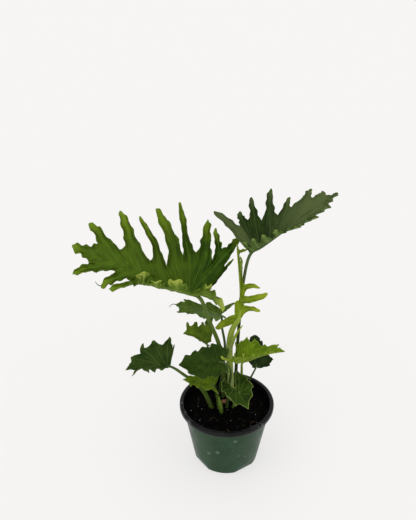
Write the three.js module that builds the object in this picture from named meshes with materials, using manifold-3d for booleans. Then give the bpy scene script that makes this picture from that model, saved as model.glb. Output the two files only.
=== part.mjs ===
// Potted hope selloum philodendron: eleven cut leaves on stalks that stand in the soil of a green pot.
// Millimetres, +Z up. The origin is the centre of the pot's base, and the plant is seen from the -Y side.
import * as THREE from 'three';
import { mergeVertices } from 'three/addons/utils/BufferGeometryUtils.js';
import Module from 'manifold-3d';

const wasm = await Module();
wasm.setup();

// Driving dimensions of the pot and its soil.
const POT_HEIGHT = 113;
const POT_SIDES = 40;
const RIM_RADIUS = 78;
const RIM_DEPTH = 8;
const RIM_ROUNDING = 2.4;
const BODY_TOP_RADIUS = 72;
const BASE_RADIUS = 52.5;
const BASE_ROUNDING = 2;
const BASE_FLOOR_RADIUS = 40;
const WALL = 1.6;
const FLAT_ANGLES = [-55, 35, 125, 215];
const FLAT_HALF_ANGLE = 20;
const FLAT_HEIGHT = 15;
const SOIL_LEVEL = 100;
const SOIL_RELIEF = 1.5;
const SOIL_SLACK = 1;
const SOIL_RING_SHARES = [0.9, 0.7, 0.45, 0.2];
const GAP = 0.3;

// The short pale shoot in front of the stalks, and the reddish chip of bark that lies on the soil behind it.
const SHOOT = {
  points: [[-9, -11, 80], [-9, -11, 100], [-11, -10, 117], [-14, -9, 131]],
  radii: [3.4, 3.4, 3.2, 1.2],
};
const SHOOT_STEPS = 8;
const CHIP_PLACE = [-3, 10, 103.7];
const CHIP_SIZE = [6.5, 4, 3];
const CHIP_BUMP = 0.12;

// Driving dimensions shared by the leaves.
const BLADE_THICKNESS = 0.9;
const MIDRIB_STEPS = 60;
const MIDRIB_SHARES = [0.1, 0.35, 0.65, 0.95];
const MIDRIB_SINK = 0.6;
const TIP_RADIUS = 0.5;
const STALK_DEPTH = 20;
const STALK_SIDES = 6;
const FIRST_ROW = 0.03;
const BEND_EASE = 0.8;
const LIFT_EASE = 1.6;
const RIB_EASE = 0.6;
const DEFAULT_WIDE = 0.5;
const LEAST_CURL = 1e-5;
const LEAST_HALF_WIDTH = 0.5;

// Roughness of each finish.
const LEAF_ROUGHNESS = 0.4;
const SHOOT_ROUGHNESS = 0.5;
const POT_ROUGHNESS = 0.45;
const SOIL_ROUGHNESS = 0.95;
const BARK_ROUGHNESS = 0.9;

// Each leaf: its stalk's points from the soil up, where the last is the junction with the blade. Yaw and
// pitch are the midrib's heading there, turn and arch their change towards the tip, and roll the blade's turn
// about the midrib, all in degrees. Fold is the rise of each half from flat and curl its droop for each mm
// out from the midrib, both at even steps from the base to the tip. A half's end is where its edge starts
// beside the stalk. Each lobe is the place of its tip and of the cleft after it, in mm along and out from the
// midrib, then its sideways bend and its lift in mm, and for some how broad it is next to the others. Finger
// is a lobe's half width and wide its share of the room between the clefts, and flare, blunt and taper shape
// all lobes of a leaf alike. A sheath is the dry one on a stalk.
const LEAVES = [
  {
    name: 'leaf_large_left', colour: 0x5f8f2a, stalkRadius: [4, 3],
    stalk: [[-7, 27], [-4, 24, 143], [-13, 13, 219], [-30, 5, 275], [-45, 0, 321]],
    length: 212, yaw: 181, turn: -26, pitch: 27, arch: 16, roll: 0,
    finger: 9, flare: 0.17, blunt: 7, taper: 0.35, columns: 6, rows: 5, steps: 18,
    left: {
      fold: [35, 13, 0, -14, -24, -22, -18, -20, -22, -22, -22],
      curl: [-0.8, -1.2, -1.5, -1.8, -2, -1.1, 0.1, 0.1, 0.1, 0.1, 0.1], end: [-8, 12], tipBreadth: 1.5,
      lobes: [
        [-30, 42, -1, 46, 0, -20, 1.6], [4, 58, 22, 40, 2, 0, 1.4], [52, 62, 58, 44, 0, 0, 1.6],
        [72, 54, 80, 44, 0, 0, 1.6], [97, 78, 96, 42, 3, 0, 1.3], [130, 44, 104, 18, 3, -5, 1.3],
        [141, 46, 133, 14, -2, -4, 1.2], [187, 45, 174, 17, -3, 0, 1.3],
      ],
    },
    right: {
      fold: [56, 53, 47, 41, 34], curl: [0.12, 0.12], end: [-17, 30], tipBreadth: 1,
      lobes: [
        [-31, 77, -22, 66, 0, 0], [-31, 115, -9, 87, 0, 0], [14, 110, 0, 60, 2, 0, 0.8],
        [29, 119, 30, 62, 0, 0], [83, 130, 46, 48, -1, 0], [116, 106, 65, 26, 7, 0],
        [136, 82, 91, 23, 7, 0], [169, 81, 141, 22, 2, 0, 1.1], [207, 44, 181, 14, 2, 0, 1.2],
      ],
    },
  },
  {
    name: 'leaf_upper_right', colour: 0x3f6b33, stalkRadius: [3, 2.4],
    stalk: [[14, 40], [16, 43, 144], [19, 46, 225], [25, 46, 321], [36, 45, 373]],
    length: 161, yaw: 3.6, turn: 8, pitch: 37.3, arch: 2, roll: 0,
    finger: 8, flare: 0.2, blunt: 6, taper: 0.35, columns: 6, rows: 4, steps: 18,
    left: {
      fold: [52, 50, 47, 43, 38], curl: [0.12, 0.12], end: [-5, 14],
      lobes: [
        [-18, 91, 7, 46, -2, 0, 1.3], [17, 66, 22, 47, 0, 0, 1.6], [45, 75, 41, 33, -1, 0],
        [79, 68, 67, 26, 0, 0], [97, 39, 95, 25, 0, 0], [131, 31, 131, 17, -2, 0], [145, 15, 148, 6, 0, 0],
      ],
    },
    right: {
      fold: [65, 35, 8, 0, -5, -10, -12, -12, -12, -10, -10],
      curl: [-0.8, -3, -4.5, -4.5, -4, -2.5, -1.5, -1, -0.8, -0.5, -0.5], end: [-1, 6],
      lobes: [
        [3, 30, 10, 20, 0, 0], [18, 27, 24, 16, 0, 0], [34, 27, 42, 14, 0, 0], [54, 26, 62, 13, 0, 0],
        [92, 26, 82, 11, 0, 0], [118, 20, 112, 12, 0, 0], [141, 14, 146, 8, 0, 0],
      ],
    },
  },
  {
    name: 'leaf_young_upright', colour: 0x9dbb3c, stalkRadius: [5.4, 5.2, 5.4, 5.4, 3.5],
    stalk: [[7, 20], [7, 22, 129], [4, 26, 210], [8, 29, 238], [19, 30, 261]],
    length: 127, yaw: 62, turn: 106, pitch: 74, arch: -10, roll: 0,
    finger: 5.5, wide: 0.8, flare: 0.13, blunt: 6, taper: 0.3, columns: 6, rows: 2, steps: 18,
    left: {
      fold: [5, 30, 55, 65, 68, 64], curl: [0.1, 0.1], end: [-14, 3],
      lobes: [[-30, 37, 4, 8, -3, 0, 1.3], [30, 8, 44, 3, 0, 0], [98, 10, 112, 4, 0, 0]],
    },
    right: {
      fold: [5, 12, 28, 42, 55, 60], curl: [0.3, 0.3], end: [2, 5],
      lobes: [
        [17, 33, 25, 5, -4, 0, 0.8], [42, 43, 38, 6, 1, 0, 1.1], [51, 31, 60, 3, -5, 0, 0.8],
        [104, 5, 109, 3, 0, 0], [114, 17, 118, 3, 0, 0, 0.6],
      ],
    },
    sheath: { points: [[5, 23, 194], [9, 17, 214], [15, 14, 230], [24, 14, 243]], radii: [3, 2.2, 1.6, 0.6] },
  },
  {
    name: 'leaf_dark_upper', colour: 0x35552f, stalkRadius: [2.8, 1.8],
    stalk: [[-13, 38], [-3, 49, 190], [-8, 58, 222], [-10, 61, 245.5]],
    length: 80, yaw: -174.9, turn: 8, pitch: 31.8, arch: 22, roll: 0,
    finger: 6.5, flare: 0.3, blunt: 5, taper: 0.5, columns: 4, rows: 2, steps: 12,
    left: {
      fold: [24, 0], curl: [0.3, 0.3], end: [-6, 10],
      lobes: [
        [-8, 22, 5, 18, 0, 0], [19, 42, 28, 36, 0, 0, 1.3], [39, 39, 52, 26, 0, 0], [66, 26, 70, 24, 0, 0],
        [82, 21, 77, 14, 0, 0],
      ],
    },
    right: {
      fold: [40, 24], curl: [0.2, 0.2], end: [-8, 10],
      lobes: [[-20, 31, 5, 9, 0, 0, 1.4], [27, 13, 42, 6, 0, 0], [66, 10, 71, 6, 0, 0, 1.3]],
    },
  },
  {
    name: 'leaf_dark_lower', colour: 0x35552f, stalkRadius: [2.4, 1.6],
    stalk: [[-13, 22], [-24, 24, 160], [-30, 25, 196], [-33, 25, 213]],
    length: 51, yaw: -164.7, turn: 12, pitch: 50.6, arch: 26, roll: 0,
    finger: 6, flare: 0.3, blunt: 5, taper: 0.5, columns: 4, rows: 2, steps: 12,
    left: {
      fold: [20, 0], curl: [0.3, 0.3], end: [-5, 8],
      lobes: [[-8, 22, 4, 16, 0, 0], [14, 22, 18, 12, 0, 0], [28, 14, 30, 7, 0, 0]],
    },
    right: {
      fold: [48, 40], curl: [0.1, 0.1], end: [-6, 8],
      lobes: [
        [9, 52, 12, 27, -3, 0, 2], [18, 30, 23, 19, 0, 0], [28, 26, 36, 16, 0, 0], [43, 21, 45, 8, 0, 0],
      ],
    },
  },
  {
    name: 'leaf_left', colour: 0x3d6434, stalkRadius: [4.6, 2],
    stalk: [[-19, 4], [-41, -2, 141], [-68, -8, 174], [-91, -10, 194]],
    length: 74, yaw: -168.9, turn: 14, pitch: 19.1, arch: 20, roll: 0,
    finger: 7, flare: 0.35, blunt: 4, taper: 0.5, columns: 4, rows: 2, steps: 12,
    left: {
      fold: [30, 5], curl: [0.3, 0.3], end: [-6, 10],
      lobes: [
        [-8, 18, 6, 13, 0, 0], [24, 25, 28, 18, 0, 0], [35, 29, 38, 19, 0, 0], [43, 25, 52, 7, 0, 0],
        [72, 21, 62, 8, 0, 0],
      ],
    },
    right: {
      fold: [42, 30], curl: [0.1, 0.1], end: [-1, 12],
      lobes: [
        [-4, 38, -1, 36, 0, 0], [3, 49, 14, 34, 0, 0], [25, 42, 34, 31, 0, 0], [39, 38, 46, 21, -2, 0],
        [61, 18, 66, 8, 0, 0],
      ],
    },
  },
  {
    name: 'leaf_centre', colour: 0x33582e, stalkRadius: [2.8, 1.8],
    stalk: [[-1, 1], [3, -4, 145], [4, -12, 193], [-8, -14, 206]],
    length: 72, yaw: -171.4, turn: 12, pitch: 12.8, arch: 12, roll: -26,
    finger: 9, flare: 0.5, blunt: 3, taper: 0.5, columns: 4, rows: 2, steps: 10,
    left: {
      fold: [16, 0], curl: [0.25, 0.25], end: [-6, 6],
      lobes: [
        [-8, 20, 2, 20, 0, 0], [17, 32, 26, 29, 0, 0], [36, 32, 48, 25, 0, 0], [62, 15, 66, 8, 0, 0],
      ],
    },
    right: {
      fold: [20, 12], curl: [0.25, 0.25], end: [-6, 6],
      lobes: [
        [-10, 22, 2, 26, 0, 0], [18, 29, 24, 24, 0, 0], [30, 25, 36, 19, 0, 0], [41, 20, 50, 13, 0, 0],
        [58, 14, 64, 7, 0, 0],
      ],
    },
  },
  {
    name: 'leaf_low_left', colour: 0x79a336, stalkRadius: [2.8, 1.8],
    stalk: [[-12, -1], [-16, -3, 130], [-20, -12, 148], [-24, -20, 163]],
    length: 56, yaw: -167.6, turn: 12, pitch: 33.8, arch: 14, roll: 0,
    finger: 7, flare: 0.4, blunt: 3, taper: 0.5, columns: 4, rows: 2, steps: 10,
    left: {
      fold: [5, -22], curl: [0.3, 0.3], end: [-4, 6],
      lobes: [
        [-8, 18, 4, 12, 0, 0], [19, 18, 26, 11, 0, 0], [31, 14, 38, 9, 0, 0], [45, 12, 48, 4, 0, 0],
      ],
    },
    right: {
      fold: [40, 30], curl: [0.2, 0.2], end: [-6, 6],
      lobes: [
        [-11, 28, -3, 20, 0, 0], [6, 18, 14, 12, 0, 0], [24, 12, 36, 7, 0, 0], [44, 8, 48, 4, 0, 0],
      ],
    },
  },
  {
    name: 'leaf_front', colour: 0x4a7a2c, stalkRadius: [2.4, 1.6],
    stalk: [[6, 2], [15, -6, 125], [17, -18, 157], [12, -20, 158]],
    length: 45, yaw: -61.7, turn: 0, pitch: -1.5, arch: 26, roll: 0,
    finger: 9, flare: 0.5, blunt: 3, taper: 0.5, columns: 4, rows: 2, steps: 10,
    left: {
      fold: [18, 6], curl: [0.3, 0.3], end: [-3, 4],
      lobes: [
        [-30, 21, -16, 25, 0, 0, 1.6], [-3, 28, 3, 26, 0, 0], [14, 27, 19, 20, 0, 0],
        [28, 17, 32, 10, 0, 0],
      ],
    },
    right: {
      fold: [14, 6], curl: [0.3, 0.3], end: [-3, 4],
      lobes: [
        [-29, 4, -22, 12, 0, 0], [-11, 19, -5, 22, 0, 0], [1, 25, 6, 22, 0, 0], [18, 21, 22, 19, 0, 0],
        [33, 18, 34, 9, 0, 0],
      ],
    },
  },
  {
    name: 'leaf_right', colour: 0x84ac3c, stalkRadius: [3, 1.8],
    stalk: [[13, 12], [24, 14, 136], [24, 10, 169], [25, 2, 193]],
    length: 79, yaw: -12.6, turn: -12, pitch: 37.6, arch: 16, roll: 0,
    finger: 8, flare: 0.4, blunt: 3, taper: 0.5, columns: 4, rows: 2, steps: 10,
    left: {
      fold: [34, 20], curl: [0.2, 0.2], end: [-7, 12],
      lobes: [
        [-9, 42, -2, 36, 0, 0], [3, 40, 5, 38, 0, 0], [12, 43, 16, 32, 0, 0], [23, 35, 34, 19, 0, 0],
        [40, 20, 46, 14, 0, 0], [66, 15, 69, 8, 0, 0],
      ],
    },
    right: {
      fold: [44, 40, 38, 36], curl: [-0.6, -0.6], end: [-4, 6],
      lobes: [
        [-11, 45, -2, 30, 0, 0, 0.8], [12, 40, 9, 25, 0, 0, 0.8], [25, 33, 18, 13, 0, 0, 0.8],
        [31, 12, 38, 7, 0, 0], [49, 10, 56, 6, 0, 0], [67, 7, 71, 4, 0, 0],
      ],
    },
  },
  {
    name: 'leaf_back_right', colour: 0x2c4a2a, stalkRadius: [2, 1.4],
    stalk: [[18, 22], [31, 26, 106], [38, 30, 132], [49, 34, 159]],
    length: 53, yaw: 100, turn: -10, pitch: 62, arch: 0, roll: -20,
    finger: 9, flare: 0.6, blunt: 2.4, taper: 0.4, columns: 4, rows: 2, steps: 10,
    left: {
      fold: [10, 4], curl: [0.2, 0.2], end: [-3, 2], tipBreadth: 2,
      lobes: [[0, 7, 3, 8, 0, 0], [12, 14, 18, 18, 0, 0], [28, 18, 34, 15, 0, 0], [44, 12, 46, 9, 0, 0]],
    },
    right: {
      fold: [10, 4], curl: [0.2, 0.2], end: [-3, 2], tipBreadth: 2,
      lobes: [
        [-2, 12, -1, 16, 0, 0], [2, 24, 6, 26, 0, 0], [12, 30, 18, 25, 0, 0], [30, 17, 36, 14, 0, 0],
        [44, 12, 46, 9, 0, 0],
      ],
    },
  },
];

const { degToRad, lerp, clamp } = THREE.MathUtils;
const plant = new THREE.Group();

function addPiece(name, geometry, colour, roughness) {
  const material = new THREE.MeshStandardMaterial({ color: colour, roughness, metalness: 0 });
  const mesh = new THREE.Mesh(geometry, material);
  mesh.name = name;
  plant.add(mesh);
}

// Merged, closed geometry as a solid, with faces that a collapsed edge has emptied left out.
function toSolid(geometry) {
  const bare = geometry.clone();
  bare.deleteAttribute('normal');
  bare.deleteAttribute('uv');
  const merged = mergeVertices(bare, 1e-4);
  const corners = merged.index.array;
  const kept = [];
  for (let i = 0; i < corners.length; i += 3) {
    const [a, b, c] = corners.slice(i, i + 3);
    if (a !== b && b !== c && c !== a) kept.push(a, b, c);
  }
  const mesh = new wasm.Mesh({
    numProp: 3,
    vertProperties: new Float32Array(merged.attributes.position.array),
    triVerts: new Uint32Array(kept),
  });
  return new wasm.Manifold(mesh);
}

function toGeometry(solid) {
  const mesh = solid.getMesh();
  const geometry = new THREE.BufferGeometry();
  geometry.setAttribute('position', new THREE.BufferAttribute(mesh.vertProperties, 3));
  geometry.setIndex(new THREE.BufferAttribute(mesh.triVerts, 1));
  geometry.computeVertexNormals();
  return geometry;
}

// Moves every vertex of a grid to the place that the given function returns for it.
function mapVertices(geometry, place) {
  const at = geometry.attributes.position;
  for (let i = 0; i < at.count; i++) {
    const point = place(new THREE.Vector3().fromBufferAttribute(at, i));
    at.setXYZ(i, point.x, point.y, point.z);
  }
  return geometry;
}

// The value at a share of the way along a list of evenly spaced values.
function between(values, share) {
  const last = values.length - 1;
  const place = Math.min(Math.floor(share * last), last - 1);
  return lerp(values[place], values[place + 1], share * last - place);
}

// A tapering round tube along smooth points. radiusAt takes the share of the length, from 0 to 1.
function tube(points, radiusAt, steps) {
  const curve = new THREE.CatmullRomCurve3(points, false, 'centripetal');
  const frames = curve.computeFrenetFrames(steps);
  return mapVertices(new THREE.CylinderGeometry(1, 1, 1, STALK_SIDES, steps), ({ x, y, z }) => {
    const step = Math.round((y + 0.5) * steps);
    const radius = radiusAt(step / steps);
    return curve.getPointAt(step / steps)
      .addScaledVector(frames.normals[step], x * radius)
      .addScaledVector(frames.binormals[step], -z * radius);
  });
}

// The midrib's heading at a share of its length.
function headingAt(leaf, share) {
  const yaw = degToRad(leaf.yaw + leaf.turn * share);
  const pitch = degToRad(leaf.pitch - leaf.arch * share);
  return new THREE.Vector3(Math.cos(pitch) * Math.cos(yaw), Math.cos(pitch) * Math.sin(yaw), Math.sin(pitch));
}

// Points along the midrib at equal steps, from the junction with the stalk to the tip.
function midribPoints(leaf) {
  const step = leaf.length / MIDRIB_STEPS;
  const points = [new THREE.Vector3(...leaf.stalk.at(-1))];
  for (let i = 0; i < MIDRIB_STEPS; i++) {
    points.push(points[i].clone().addScaledVector(headingAt(leaf, (i + 0.5) / MIDRIB_STEPS), step));
  }
  return points;
}

// The midrib's point x mm from the junction, with the directions to its left and up from the blade.
function midribFrame(leaf, midrib, x) {
  const share = clamp(x / leaf.length, 0, 1);
  const step = Math.min(Math.floor(share * MIDRIB_STEPS), MIDRIB_STEPS - 1);
  const heading = headingAt(leaf, share);
  const point = midrib[step].clone().lerp(midrib[step + 1], share * MIDRIB_STEPS - step);
  point.addScaledVector(heading, x - share * leaf.length);
  const level = new THREE.Vector3(0, 0, 1).cross(heading).normalize();
  const left = level.clone().applyAxisAngle(heading, degToRad(leaf.roll));
  const up = heading.clone().cross(left);
  return { point, left, up };
}

// The lobes of one half, from the base to the half lobe at the tip, with where each is rooted on the midrib.
function lobesOf(leaf, half) {
  const toPoint = ([x, y]) => new THREE.Vector2(x, y);
  const clefts = [half.end, ...half.lobes.map((lobe) => lobe.slice(2, 4))].map(toPoint);
  const tips = [...half.lobes.map((lobe) => lobe.slice(0, 2)), [leaf.length, 0]].map(toPoint);
  const lastRoot = clefts.at(-1).x;
  let root = 0;
  const lobes = tips.map((tip, i) => {
    const before = clefts[i];
    const after = clefts[i + 1] ?? new THREE.Vector2(before.x, -before.y);
    const neck = before.clone().add(after).multiplyScalar(0.5);
    const axis = tip.clone().sub(neck);
    const straight = axis.y > 0 ? neck.x - neck.y * axis.x / axis.y : neck.x;
    root = Math.max(root, clamp(straight, 0, lastRoot));
    const [bend, lift, breadth = 1] = half.lobes[i]?.slice(4) ?? [0, 0, half.tipBreadth];
    return { before, after, neck, axis, root, bend, lift, breadth };
  });
  lobes.forEach((lobe, i) => {
    lobe.rootBefore = i ? (lobes[i - 1].root + lobe.root) / 2 : 0;
    lobe.rootAfter = (lobe.root + (lobes[i + 1]?.root ?? lobe.root)) / 2;
  });
  return lobes;
}

// The flat place of a column, counted in lobes along the edge, at a share of its way from midrib to edge.
// Columns run beside the lobe's axis like veins, and leave it one after the other towards its tip.
function flatPlace(leaf, lobes, column, share) {
  const index = Math.min(Math.floor(column), lobes.length - 1);
  const lobe = lobes[index];
  const rising = column - index <= 0.5;
  const inward = rising ? 2 * (column - index) : 2 * (index + 1 - column);
  const reach = (1 - Math.cos(Math.PI * inward)) / 2;
  const toCleft = (rising ? lobe.before : lobe.after).clone().sub(lobe.neck);
  const root = new THREE.Vector2(lerp(rising ? lobe.rootBefore : lobe.rootAfter, lobe.root, inward), 0);
  const neck = lobe.neck.clone().addScaledVector(toCleft, 1 - inward);
  const toNeck = neck.distanceTo(root);
  const neckShare = toNeck / (toNeck + reach * lobe.axis.length());
  if (share <= neckShare) return { place: root.lerp(neck, share / neckShare), lift: 0 };

  const along = (share - neckShare) / (1 - neckShare);
  const s = reach * along;
  const sideways = 1 - inward + inward * along ** 2;
  const flare = Math.exp(-s / (leaf.flare * lobe.breadth)) * (1 - s) ** 2;
  const across = new THREE.Vector2(-lobe.axis.y, lobe.axis.x).normalize();
  const outward = Math.sign(across.dot(toCleft));
  const room = Math.min(1, (leaf.wide ?? DEFAULT_WIDE) * lobe.breadth) * Math.abs(across.dot(toCleft));
  const widest = Math.min(leaf.finger * lobe.breadth, room + LEAST_HALF_WIDTH);
  const halfWidth = widest * (1 - leaf.taper * s) * Math.sqrt(Math.max(0, 1 - s ** leaf.blunt));
  const place = lobe.neck.clone().addScaledVector(lobe.axis, s);
  place.addScaledVector(toCleft, flare * sideways);
  place.addScaledVector(across, outward * halfWidth * (1 - flare) * sideways);
  place.addScaledVector(across, lobe.bend * Math.sin(Math.PI * s ** BEND_EASE));
  return { place, lift: lobe.lift * s ** LIFT_EASE };
}

// Carries a flat place onto the folded, drooping blade. Side is 1 for the left half and -1 for the right.
function bladePoint(leaf, midrib, half, side, place, lift, layer) {
  const { point, left, up } = midribFrame(leaf, midrib, place.x);
  const share = clamp(place.x / leaf.length, 0, 1);
  const fold = degToRad(between(half.fold, share));
  const curl = degToRad(between(half.curl, share)) || LEAST_CURL;
  const slope = fold - curl * place.y;
  const out = (Math.sin(fold) - Math.sin(slope)) / curl;
  const rise = (Math.cos(slope) - Math.cos(fold)) / curl;
  const height = lift + layer * BLADE_THICKNESS / 2;
  return point
    .addScaledVector(left, side * (out - height * Math.sin(slope)))
    .addScaledVector(up, rise + height * Math.cos(slope));
}

// Splits the lower face of a slab along the same diagonals as its upper face, so that the two never cross.
function splitAlike(slab) {
  const lowerFace = slab.groups.at(-1);
  const corners = slab.index.array;
  for (let i = lowerFace.start; i < lowerFace.start + lowerFace.count; i += 6) {
    const [a, b, d, , c] = corners.slice(i, i + 5);
    corners.set([a, b, c, a, c, d], i);
  }
}

// One half of a blade as a closed slab: a grid of columns along its edge and rows from the midrib outwards.
// The last column lies on the midrib, so that the two halves meet there.
function halfBlade(leaf, midrib, side) {
  const half = side > 0 ? leaf.left : leaf.right;
  const lobes = lobesOf(leaf, half);
  const columns = (lobes.length - 0.5) * leaf.columns;
  const slab = new THREE.BoxGeometry(1, 1, 1, columns, leaf.rows, 1);
  splitAlike(slab);
  return mapVertices(slab, ({ x, y, z }) => {
    const column = (x + 0.5) * (lobes.length - 0.5);
    const share = lerp(FIRST_ROW, 1, y + 0.5);
    const { place, lift } = flatPlace(leaf, lobes, column, share);
    place.y = x < 0.5 ? Math.max(place.y, 0) : 0;
    return bladePoint(leaf, midrib, half, side, place, lift, 2 * z * side);
  });
}

// A stalk from the soil to its blade, which it runs on under as the midrib. Swell widens it for its hole.
function stalkTube(leaf, midrib, swell) {
  const [foot, ...rest] = leaf.stalk;
  const stalk = [[...foot, SOIL_LEVEL - STALK_DEPTH - swell], ...rest].map((p) => new THREE.Vector3(...p));
  const ribs = MIDRIB_SHARES.map((share) => {
    const { point, up } = midribFrame(leaf, midrib, share * leaf.length);
    return point.addScaledVector(up, -MIDRIB_SINK * lerp(leaf.stalkRadius.at(-1), TIP_RADIUS, share));
  });
  const stalkLength = stalk.slice(1).reduce((sum, point, i) => sum + point.distanceTo(stalk[i]), 0);
  const junction = stalkLength / (stalkLength + leaf.length * MIDRIB_SHARES.at(-1));
  const radiusAt = (share) => swell + (share < junction
    ? between(leaf.stalkRadius, share / junction)
    : lerp(leaf.stalkRadius.at(-1), TIP_RADIUS, ((share - junction) / (1 - junction)) ** RIB_EASE));
  return tube([...stalk, ...ribs], radiusAt, leaf.steps);
}

// Fills the sealed cavities that can be left between a stalk, its sheath and the blade.
function filled(solid) {
  return wasm.Manifold.compose(solid.decompose().filter((body) => body.volume() > 0));
}

const stalkHoles = [];
for (const leaf of LEAVES) {
  const midrib = midribPoints(leaf);
  let solid = toSolid(stalkTube(leaf, midrib, 0));
  for (const side of [1, -1]) solid = solid.add(toSolid(halfBlade(leaf, midrib, side)));
  if (leaf.sheath) {
    const { points, radii } = leaf.sheath;
    const path = points.map((p) => new THREE.Vector3(...p));
    solid = solid.add(toSolid(tube(path, (share) => between(radii, share), SHOOT_STEPS)));
  }
  stalkHoles.push(toSolid(stalkTube(leaf, midrib, GAP)));
  addPiece(leaf.name, toGeometry(filled(solid)), leaf.colour, LEAF_ROUGHNESS);
}

function shootTube(swell) {
  const points = SHOOT.points.map((p) => new THREE.Vector3(...p));
  points[0].z -= swell;
  return tube(points, (share) => swell + between(SHOOT.radii, share), SHOOT_STEPS);
}
addPiece('short_shoot', shootTube(0), 0x8fb05a, SHOOT_ROUGHNESS);
stalkHoles.push(toSolid(shootTube(GAP)));

// Pulls the pot's lower corner in to a flat face at each of the four flats, and the wall in with it.
function flattened(point) {
  const angle = Math.atan2(point.y, point.x);
  const radius = Math.hypot(point.x, point.y);
  const lowness = clamp(1 - point.z / FLAT_HEIGHT, 0, 1);
  for (const flat of FLAT_ANGLES.map(degToRad)) {
    const off = Math.atan2(Math.sin(angle - flat), Math.cos(angle - flat));
    if (Math.abs(off) < degToRad(FLAT_HALF_ANGLE) && radius > BASE_RADIUS / 2) {
      const chord = Math.cos(degToRad(FLAT_HALF_ANGLE)) / Math.cos(off);
      const pull = 1 - lowness * (1 - chord);
      point.x *= pull;
      point.y *= pull;
    }
  }
  return point;
}

function lathe(profile) {
  const points = profile.map(([r, z]) => new THREE.Vector2(r, z));
  return new THREE.LatheGeometry(points, POT_SIDES).rotateX(Math.PI / 2);
}

// The pot: a thin wall that widens upwards, a rolled rim outside it and a flat base.
const bodyTop = POT_HEIGHT - RIM_DEPTH;
const wallRadius = (z) => lerp(BASE_RADIUS, BODY_TOP_RADIUS, z / bodyTop);
const rimMiddle = (RIM_RADIUS + BODY_TOP_RADIUS) / 2;
const potProfile = [
  [0, 0], [BASE_FLOOR_RADIUS, 0], [BASE_RADIUS - BASE_ROUNDING, 0],
  [wallRadius(BASE_ROUNDING), BASE_ROUNDING],
  [wallRadius(FLAT_HEIGHT), FLAT_HEIGHT], [wallRadius(bodyTop / 2), bodyTop / 2], [BODY_TOP_RADIUS, bodyTop],
  [RIM_RADIUS - RIM_ROUNDING, bodyTop], [RIM_RADIUS, bodyTop + RIM_ROUNDING],
  [RIM_RADIUS, POT_HEIGHT - RIM_ROUNDING],
  [RIM_RADIUS - RIM_ROUNDING / 2, POT_HEIGHT - RIM_ROUNDING / 3], [rimMiddle, POT_HEIGHT],
  [BODY_TOP_RADIUS, POT_HEIGHT - RIM_ROUNDING / 3],
  [BODY_TOP_RADIUS - WALL, bodyTop], [wallRadius(bodyTop / 2) - WALL, bodyTop / 2],
  [wallRadius(FLAT_HEIGHT) - WALL, FLAT_HEIGHT], [wallRadius(BASE_ROUNDING) - WALL, BASE_ROUNDING + WALL],
  [BASE_FLOOR_RADIUS, WALL], [0, WALL],
];
addPiece('pot', mapVertices(lathe(potProfile), flattened), 0x3a5842, POT_ROUGHNESS);

// The soil fills the pot to just under the rim, with a hole for each stalk.
const soilRadius = (z) => wallRadius(z) - WALL - GAP;
const soilProfile = [
  [0, WALL + GAP], [BASE_FLOOR_RADIUS, WALL + GAP],
  [soilRadius(BASE_ROUNDING) - SOIL_SLACK, BASE_ROUNDING + WALL + GAP],
  [soilRadius(FLAT_HEIGHT) - SOIL_SLACK, FLAT_HEIGHT], [soilRadius(bodyTop / 2), bodyTop / 2],
  [soilRadius(SOIL_LEVEL), SOIL_LEVEL],
  ...SOIL_RING_SHARES.map((share) => [share * soilRadius(SOIL_LEVEL), SOIL_LEVEL]), [0, SOIL_LEVEL],
];
const soilGeometry = mapVertices(lathe(soilProfile), (point) => {
  const bumps = Math.sin(point.x / 11) * Math.cos(point.y / 9) + 0.6 * Math.sin((point.x + point.y) / 17);
  const fade = 1 - (Math.hypot(point.x, point.y) / soilRadius(SOIL_LEVEL)) ** 4;
  if (point.z === SOIL_LEVEL) point.z += SOIL_RELIEF * bumps * fade;
  return flattened(point);
});
let soil = toSolid(soilGeometry);
for (const hole of stalkHoles) soil = soil.subtract(hole);
addPiece('soil', toGeometry(soil), 0x241c17, SOIL_ROUGHNESS);

// The reddish chip of bark that lies on the soil behind the short shoot.
const chip = mapVertices(new THREE.IcosahedronGeometry(1, 1), (p) => {
  const bump = 1 + CHIP_BUMP * Math.sin(5 * p.x + 3 * p.y) * Math.cos(4 * p.z);
  p.multiplyScalar(bump).multiply(new THREE.Vector3(...CHIP_SIZE));
  return p.add(new THREE.Vector3(...CHIP_PLACE));
});
addPiece('bark_chip', toGeometry(toSolid(chip)), 0x8a5a40, BARK_ROUGHNESS);

export default plant;
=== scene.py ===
import math
import random
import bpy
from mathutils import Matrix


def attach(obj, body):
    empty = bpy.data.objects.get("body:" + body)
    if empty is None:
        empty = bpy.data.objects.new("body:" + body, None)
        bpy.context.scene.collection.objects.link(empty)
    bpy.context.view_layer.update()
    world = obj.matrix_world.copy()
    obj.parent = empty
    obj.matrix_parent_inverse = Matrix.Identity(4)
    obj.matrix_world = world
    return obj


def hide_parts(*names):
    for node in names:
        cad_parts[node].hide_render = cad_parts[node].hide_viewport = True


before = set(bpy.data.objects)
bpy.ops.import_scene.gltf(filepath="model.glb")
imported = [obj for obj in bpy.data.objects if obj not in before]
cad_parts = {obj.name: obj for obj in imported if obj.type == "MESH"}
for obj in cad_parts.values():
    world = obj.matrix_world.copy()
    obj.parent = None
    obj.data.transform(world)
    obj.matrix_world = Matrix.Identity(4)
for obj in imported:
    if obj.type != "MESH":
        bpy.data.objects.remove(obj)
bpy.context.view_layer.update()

from types import SimpleNamespace

import bmesh
import bpy
from mathutils import Euler, Matrix, Vector, kdtree, noise
from mathutils.geometry import interpolate_bezier

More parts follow.
